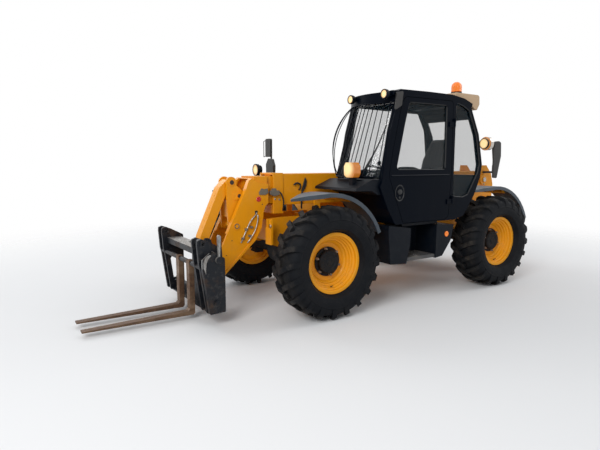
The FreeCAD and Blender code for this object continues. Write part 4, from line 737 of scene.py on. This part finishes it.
dish, paddle, belt_line = Form(), Form(), Form()
oval(dish, 1.313, 0.072, 0.096, (
    (door_face_x, 1.0), (1.0250, 0.985), (1.0268, 0.95), (1.0262, 0.91), (1.0222, 0.87), (1.0192, 0.82),
))
dish.made("door_handle_dish", hose_black, "door", "black_plastic")
oval(paddle, 1.326, 0.036, 0.030, ((door_face_x, 1.0), (1.0290, 0.97), (1.0310, 0.85)))
lock = [(0, 0.013), (0.006, 0.013), (0.007, 0.004), (0.003, 0.003)]
paddle.turned(spot(door_face_x, handle_y, 1.262), (1, 0, 0), lock, 18)
paddle.made("door_handle", hose_black, "door", "black_plastic")
belt_line.pressed([(1.0195, 1.500), (1.0255, 1.504), (1.0255, 1.512), (1.0195, 1.520)], "Y", 0.070, 1.030)
belt_line.made("door_belt_line", cab_black, "door", "black_paint", 0.001)

# Panes: tinted safety glass, let into the door and the frame. They are clean, with a
# few faint smears.
glass = Finish("cab_glass")
smear = glass.step(glass.noise(4, 6, 0.7), 0.45, 0.75)
pane_finish = glass.surface((0.020, 0.036, 0.044), smear * 0.06 + 0.02, alpha=0.15, specular_ior_level=0.5)
for node in ("windscreen", "cab_windows", "door_window"):
    soften(node, pane_finish, 0)

# Cowl, mudguards, step, mirrors and cab trim: moulded plastic with a fine grain, dusty
# on top; the mudguards' blue-grey, paler on top, is a painted sky sheen. The engine block
# between the frame's plates is painted like the axles.


def moulded(name, colour, rough, dusty, dust=(0.12, 0.115, 0.105), shine=0.3):
    """Grained plastic, lighter on what faces up: dust, and on the mudguards a painted sky sheen."""
    finish = Finish(name)
    dust_and_sheen_cloud = finish.step(finish.noise(5, 7, 0.7), 0.38, 0.7)
    up = finish.step(finish.part("Z", finish.place("Normal")), 0.2, 0.95)
    dust_and_sheen = dust_and_sheen_cloud * (up * 0.7 + 0.3) * dusty
    shade = finish.mix(dust_and_sheen, colour, dust)
    return finish.surface(
        shade, dust_and_sheen * 0.4 + rough, finish.bump(finish.noise(380, 3), 0.0006), specular_ior_level=shine,
    )


black_plastic = moulded("black_plastic", (0.003, 0.005, 0.009), 0.42, 0.12, shine=0.12)
# Mudguards: their blue-grey, and the paler blue on their tops, are a painted sky sheen.
grey_plastic = moulded("grey_plastic", (0.022, 0.034, 0.048), 0.38, 0.4, (0.16, 0.19, 0.23), 0.5)
inside_plastic = moulded("inside_plastic", (0.014, 0.015, 0.017), 0.55, 0.15)
mirror_plastic = moulded("mirror_plastic", (0.030, 0.029, 0.028), 0.45, 0.35)
# Roof pod: a black moulding, drawn tan; the tan is painted warm sunlight on it.
beige_plastic = moulded("beige_plastic", (0.52, 0.36, 0.22), 0.5, 0.25)
tread_metal = moulded("tread_metal", (0.06, 0.06, 0.062), 0.5, 0.6, (0.25, 0.22, 0.18))
for node, material, width in (
    ("front_cowl", black_plastic, 0.008), ("step_unit", black_plastic, 0.010),
    ("mirrors", mirror_plastic, 0.005), ("mudguards", grey_plastic, 0.004),
    ("roof_pod", beige_plastic, 0.014), ("dash_console", inside_plastic, 0.02),
    ("seat_base", inside_plastic, 0.015), ("steering_wheel", inside_plastic, 0.002),
    ("engine_block", axle_black, 0.02), ("step_tread", tread_metal, 0.001),
):
    soften(node, material, width)

# Windscreen wiper: a sprung arm on a spindle at the foot of the screen, with its
# blade. Both are black.
run("wiper_arm", spots((
    (0.800, 0.560, 1.500), (0.806, 0.565, 1.540), (0.840, 0.625, 1.660), (0.880, 0.700, 1.800),
    (0.905, 0.750, 1.930),
)), 0.008, hose_black, "chassis")
run("wiper_blade", spots((
    (0.835, 0.610, 1.600), (0.868, 0.680, 1.760), (0.905, 0.758, 1.940), (0.925, 0.808, 2.080),
)), 0.007, hose_black, "chassis")

# Mirror glass: a silvered plate in the moulded back of the right mirror, facing
# rearwards.
silver = Finish("mirror_glass")
silvered = silver.surface((0.72, 0.76, 0.80), silver.noise(3, 4) * 0.05 + 0.02, metallic=1.0)
mirror_glass = Form()
mirror_glass.pressed(
    [(-1.006, 1.760), (-0.902, 1.760), (-0.902, 1.976), (-1.006, 1.976)], "Y",
    0.348 + front_axle_y, 0.3495 + front_axle_y,
)
mirror_glass.made("mirror_glass", silvered, "chassis", "chrome", 0.0005)

# Beacon and side marker: ribbed amber lenses, the beacon's on a black foot. Moulded
# plastic, faintly glowing: the beacon as a lamp, and the side marker, a reflector, with a painted glow.
amber = Finish("amber_lens")
amber_lens = amber.surface(
    (0.80, 0.17, 0.003), 0.18, amber.bump(amber.ripple("Z", 1100.0), 0.0006), coat_weight=0.3,
    emission_color=(1.0, 0.24, 0.004, 1), emission_strength=0.25,
)
beacon_foot_top = 2.533
soften("beacon", amber_lens, 0.005, 30)
repaint("beacon", black_plastic, lambda centre, normal: centre.z < beacon_foot_top)
# Side marker: a reflector, whose faint glow from the amber lens is painted light.
side_marker = Form()
side_marker.turned(spot(1.0135, 1.765, 0.777), (1, 0, 0), [(0, 0.034), (0.005, 0.034), (0.008, 0.030)], 28)
side_marker.made("side_marker", amber_lens, "chassis", "amber")

# Lamps: moulded black housings behind clear lenses. The lenses' orange is a painted warm
# reflection, and their glowing bright centres are painted highlights. Four of them
# have thin rims and the one at the rear has a bright bowl.
warm = Finish("lamp_lens")
flutes = warm.ripple("X", 420.0) * warm.ripple("Z", 420.0)
LAMP_FACES = [
    ((0.770, -0.362, 1.590), 0.135, None),
    ((-0.850, -0.678, 1.565), 0.085, 0.078),
    ((0.390, -0.030, 2.410), 0.058, 0.050),
    ((0.980, -0.030, 2.410), 0.058, 0.050),
    ((0.400, 2.485, 1.940), 0.110, 0.076),
]
# A round painted highlight at each lamp's centre, fading to the painted orange reflection towards its rim.
lens_painted_highlight = None
for centre, highlight_radius, rim_radius in LAMP_FACES:
    across, along, up = [(warm.part(letter) - place) ** 2.0 for letter, place in zip("XYZ", centre)]
    highlight_spot = warm.step((across + along + up) ** 0.5 / highlight_radius, 1.0, 0.30)
    lens_painted_highlight = highlight_spot if lens_painted_highlight is None else lens_painted_highlight.math("MAXIMUM", highlight_spot)
lens_painted_highlight = lens_painted_highlight * (flutes * 0.10 + 0.90)
lamp_lens = warm.surface(
    warm.mix(lens_painted_highlight, (0.45, 0.15, 0.015), (0.62, 0.48, 0.26)), 0.10, warm.bump(flutes, 0.0010), coat_weight=0.3,
    emission_color=warm.mix(lens_painted_highlight, (0.22, 0.06, 0.004), (0.86, 0.66, 0.28)), emission_strength=0.85,
)
soften("lamps", black_plastic, 0.008)
repaint("lamps", lamp_lens, lambda centre, normal: (
    normal.y < -0.2 or (centre.x > 0.6 and centre.z < 1.7 and normal.y < 0.5)
))
lamp_bowl = Finish("lamp_bowl")
bowl_metal = lamp_bowl.surface((0.50, 0.47, 0.43), lamp_bowl.noise(6, 4) * 0.1 + 0.12, metallic=1.0)
repaint("lamps", bowl_metal, lambda centre, normal: centre.y > 2.0 and normal.y > -0.2)
BEZEL = [(0.010, -0.008), (0, -0.007), (0, 0.002), (0.010, 0.004), (0.022, 0.003)]
bezels = Form()
for (across, along, level), highlight_radius, rim_radius in LAMP_FACES:
    if rim_radius:
        profile = [(depth, rim_radius + more) for depth, more in BEZEL]
        bezels.turned((across, along - 0.003, level), (0, 1, 0), profile, 32)
bezels.made("lamp_bezels", black_plastic, "chassis", "black_plastic")

# Seat: foam cushions in woven cloth with sewn channels, between two armrests, on a
# moulded base. The cushions swell under their own stuffing.
cloth = Finish("seat_cloth")
weave = cloth.ripple("X", 1600.0) * cloth.ripple("Z", 1600.0)
channels = cloth.step(cloth.ripple("X", 52.0).math("ABSOLUTE"), 0.16, 0.0)
seat_cloth = cloth.surface(
    cloth.mix(cloth.noise(8, 5), (0.010, 0.010, 0.011), (0.030, 0.027, 0.025)), 0.9,
    cloth.bump(channels, -0.006, cloth.bump(weave, 0.0008)), sheen_weight=0.2,
)
seat_x = 0.600
last_frame, swell_limit = 20, 0.012


def settle(piece):
    """Make what the modifiers give the piece's own mesh."""
    bpy.context.view_layer.update()
    seen_piece = piece.evaluated_get(bpy.context.evaluated_depsgraph_get())
    shaped = bpy.data.meshes.new_from_object(seen_piece)
    piece.modifiers.clear()
    piece.data = shaped


def cushion(name, axis, rows):
    """A stuffed pad: rounded sections along an axis, each with a low and a high edge and half a width."""
    form = Form()
    rings = []
    for along, low, high, half_width in rows:
        points = []
        for step in range(36):
            turn = 2 * math.pi * step / 36
            shares = [math.copysign(abs(share) ** 0.5, share) for share in (math.cos(turn), math.sin(turn))]
            wide = shares[0] * half_width
            deep = (low + high) / 2 + shares[1] * (high - low) / 2
            points.append(spot(seat_x + wide, *((along, deep) if axis == "Y" else (deep, along))))
        rings.append(form.ring(points))
    piece = form.skin(rings).made(name, seat_cloth, "chassis", "seat_fabric")
    knit = piece.modifiers.new("knit", "REMESH")
    knit.mode = "VOXEL"
    knit.voxel_size = 0.006
    settle(piece)
    rest = [vertex.co.copy() for vertex in piece.data.vertices]
    stuffing = piece.modifiers.new("stuffing", "CLOTH")
    stuffing.settings.use_pressure = True
    stuffing.settings.uniform_pressure_force = 4.0
    stuffing.settings.effector_weights.gravity = 0.0
    for moment in range(1, last_frame + 1):
        bpy.context.scene.frame_set(moment)
    settle(piece)
    bpy.context.scene.frame_set(1)
    for vertex, start in zip(piece.data.vertices, rest):
        moved = vertex.co - start
        vertex.co = start + moved * min(1.0, swell_limit / max(moved.length, 0.0001))
    for face in piece.data.polygons:
        face.use_smooth = True
    return piece


for name, axis, rows, fill in (
    ("seat_pad", "Y", [
        (1.405, 1.318, 1.372, 0.215), (1.425, 1.303, 1.392, 0.240), (1.600, 1.300, 1.400, 0.250),
        (1.800, 1.300, 1.395, 0.250), (1.885, 1.303, 1.385, 0.235), (1.900, 1.320, 1.370, 0.210),
    ], 0.75),
    ("seat_back", "Z", [
        (1.395, 1.920, 2.000, 0.210), (1.420, 1.900, 2.020, 0.235), (1.550, 1.925, 2.050, 0.250),
        (1.700, 1.962, 2.080, 0.243), (1.800, 1.988, 2.102, 0.212), (1.890, 2.008, 2.114, 0.165),
        (1.945, 2.022, 2.112, 0.145), (1.968, 2.040, 2.098, 0.120),
    ], 0.7),
):
    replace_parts(cushion(name, axis, rows), "seat_cushions")
ARMREST = [(1.985, 1.530), (1.900, 1.575), (1.760, 1.580), (1.620, 1.578), (1.600, 1.572)]
for side, name in SIDES:
    points = [spot(seat_x + side * 0.275, y, z) for y, z in ARMREST]
    run(f"armrest_{name}", points, 0.028, inside_plastic, "chassis")

# Controls: a lever with its boot on a console beside the seat, a knob on the steering
# wheel and three dials behind it. Moulded plastic on steel rods.
console_front_y, console_rear_y = 1.400 + front_axle_y, 1.860 + front_axle_y
lever_set = Form()
lever_set.turned(spot(0.340, 1.480, 1.240), (0, -0.1, 1), [
    (0, 0.060), (0.012, 0.062), (0.030, 0.046), (0.040, 0.050), (0.060, 0.034), (0.070, 0.036),
    (0.090, 0.012), (0.260, 0.008), (0.270, 0.020), (0.300, 0.026), (0.345, 0.022), (0.360, 0.010),
], 20)
lever_set.pressed([
    (0.262, console_front_y), (0.400, console_front_y), (0.400, console_rear_y), (0.262, console_rear_y),
], "Z", 0.995, 1.242)
lever_set.made("boom_lever", inside_plastic, "chassis", "black_plastic", 0.004)
knob = Form()
knob.turned(spot(seat_x + 0.120, 0.905, 1.630), (0, -0.5, 0.87), [
    (-0.03, 0.008), (0.010, 0.010), (0.014, 0.022), (0.030, 0.028), (0.046, 0.024), (0.052, 0.012),
], 20)
knob.made("steering_knob", inside_plastic, "chassis", "black_plastic")
dials = Form()
for across in (0.500, 0.600, 0.700):
    profile = [(-0.01, 0.040), (0.010, 0.042), (0.014, 0.038), (0.010, 0.036)]
    dials.turned(spot(across, 0.886, 1.4405), (0, -0.2, 0.98), profile, 24)
dials.made("dash_dials", hose_black, "chassis", "black_plastic")

# Engine side: pressed louvres over a dark sheet, painted shade in the gaps between them,
# and two latches on the bonnet. Sheet steel and moulded handles.
bonnet_face_x, louvre_x, louvre_pitch = -1.0385, -1.0500, 0.034
louvres, shadows, latches = Form(), Form(), Form()
for start, end in ((0.20, 0.50), (0.58, 0.88)):
    # A dark sheet behind each set of louvres: painted shade showing through their gaps.
    shadows.pressed(
        [(start - 0.012, 0.878), (end + 0.012, 0.878), (end + 0.012, 1.118), (start - 0.012, 1.118)],
        "X", -1.0392, -1.0375,
    )
    for step in range(7):
        level = 1.110 - louvre_pitch * step
        louvres.pressed([
            (bonnet_face_x, level), (louvre_x, level - 0.006), (louvre_x, level - 0.011),
            (bonnet_face_x, level - 0.024),
        ], "Y", start, end)
louvres.made("bonnet_louvres", yellow, "bonnet", "yellow_paint", 0.002)
shadows.made("louvre_painted_shade", hose_black, "bonnet", "black_plastic")
latch_foot = [(0, 0.030), (0.004, 0.030), (0.008, 0.024)]
for along in (0.30, 0.90):
    latches.turned((bonnet_face_x, along, 0.800), (-1, 0, 0), latch_foot, 20)
    latches.pressed(
        [(along - 0.045, 0.790), (along + 0.045, 0.790), (along + 0.040, 0.810), (along - 0.040, 0.810)],
        "X", -1.054, -1.044,
    )
latches.made("bonnet_latches", black_plastic, "bonnet", "black_plastic", 0.003)

# Boom pipes: two steel lines along the far side of the boom, held by cast clamps with
# a bolt between the lines.
for number, level in ((1, 1.430), (2, 1.385)):
    points = [spot(-0.161, y, level) for y in (0.000, 0.600, 1.600, 2.600, 3.250)]
    run(f"boom_pipe_{number}", points, 0.0085, zinc_plated, "outer_boom")
pipe_clamps = Form()
for along in (0.150, 0.900, 1.650, 2.400, 3.150):
    front, rear = along - 0.760, along - 0.720
    pipe_clamps.pressed([(front, 1.365), (rear, 1.365), (rear, 1.450), (front, 1.450)], "X", -0.178, -0.149)
    bolt(pipe_clamps, spot(-0.178, along, 1.4075), (-1, 0, 0), 0.009)
pipe_clamps.made("boom_pipe_clamps", bracket_grey, "outer_boom", "chrome", 0.003)

# Chassis marker: a small bright round fitting on the front face of the frame, beside
# the boom. Polished metal.
marker = Form()
profile = [(-0.002, 0.026), (0.006, 0.026), (0.008, 0.021), (0.010, 0.012)]
marker.turned(spot(0.392, -0.401, 0.957), (0, -1, 0), profile, 20)
marker.made("chassis_marker", silvered, "chassis", "chrome")
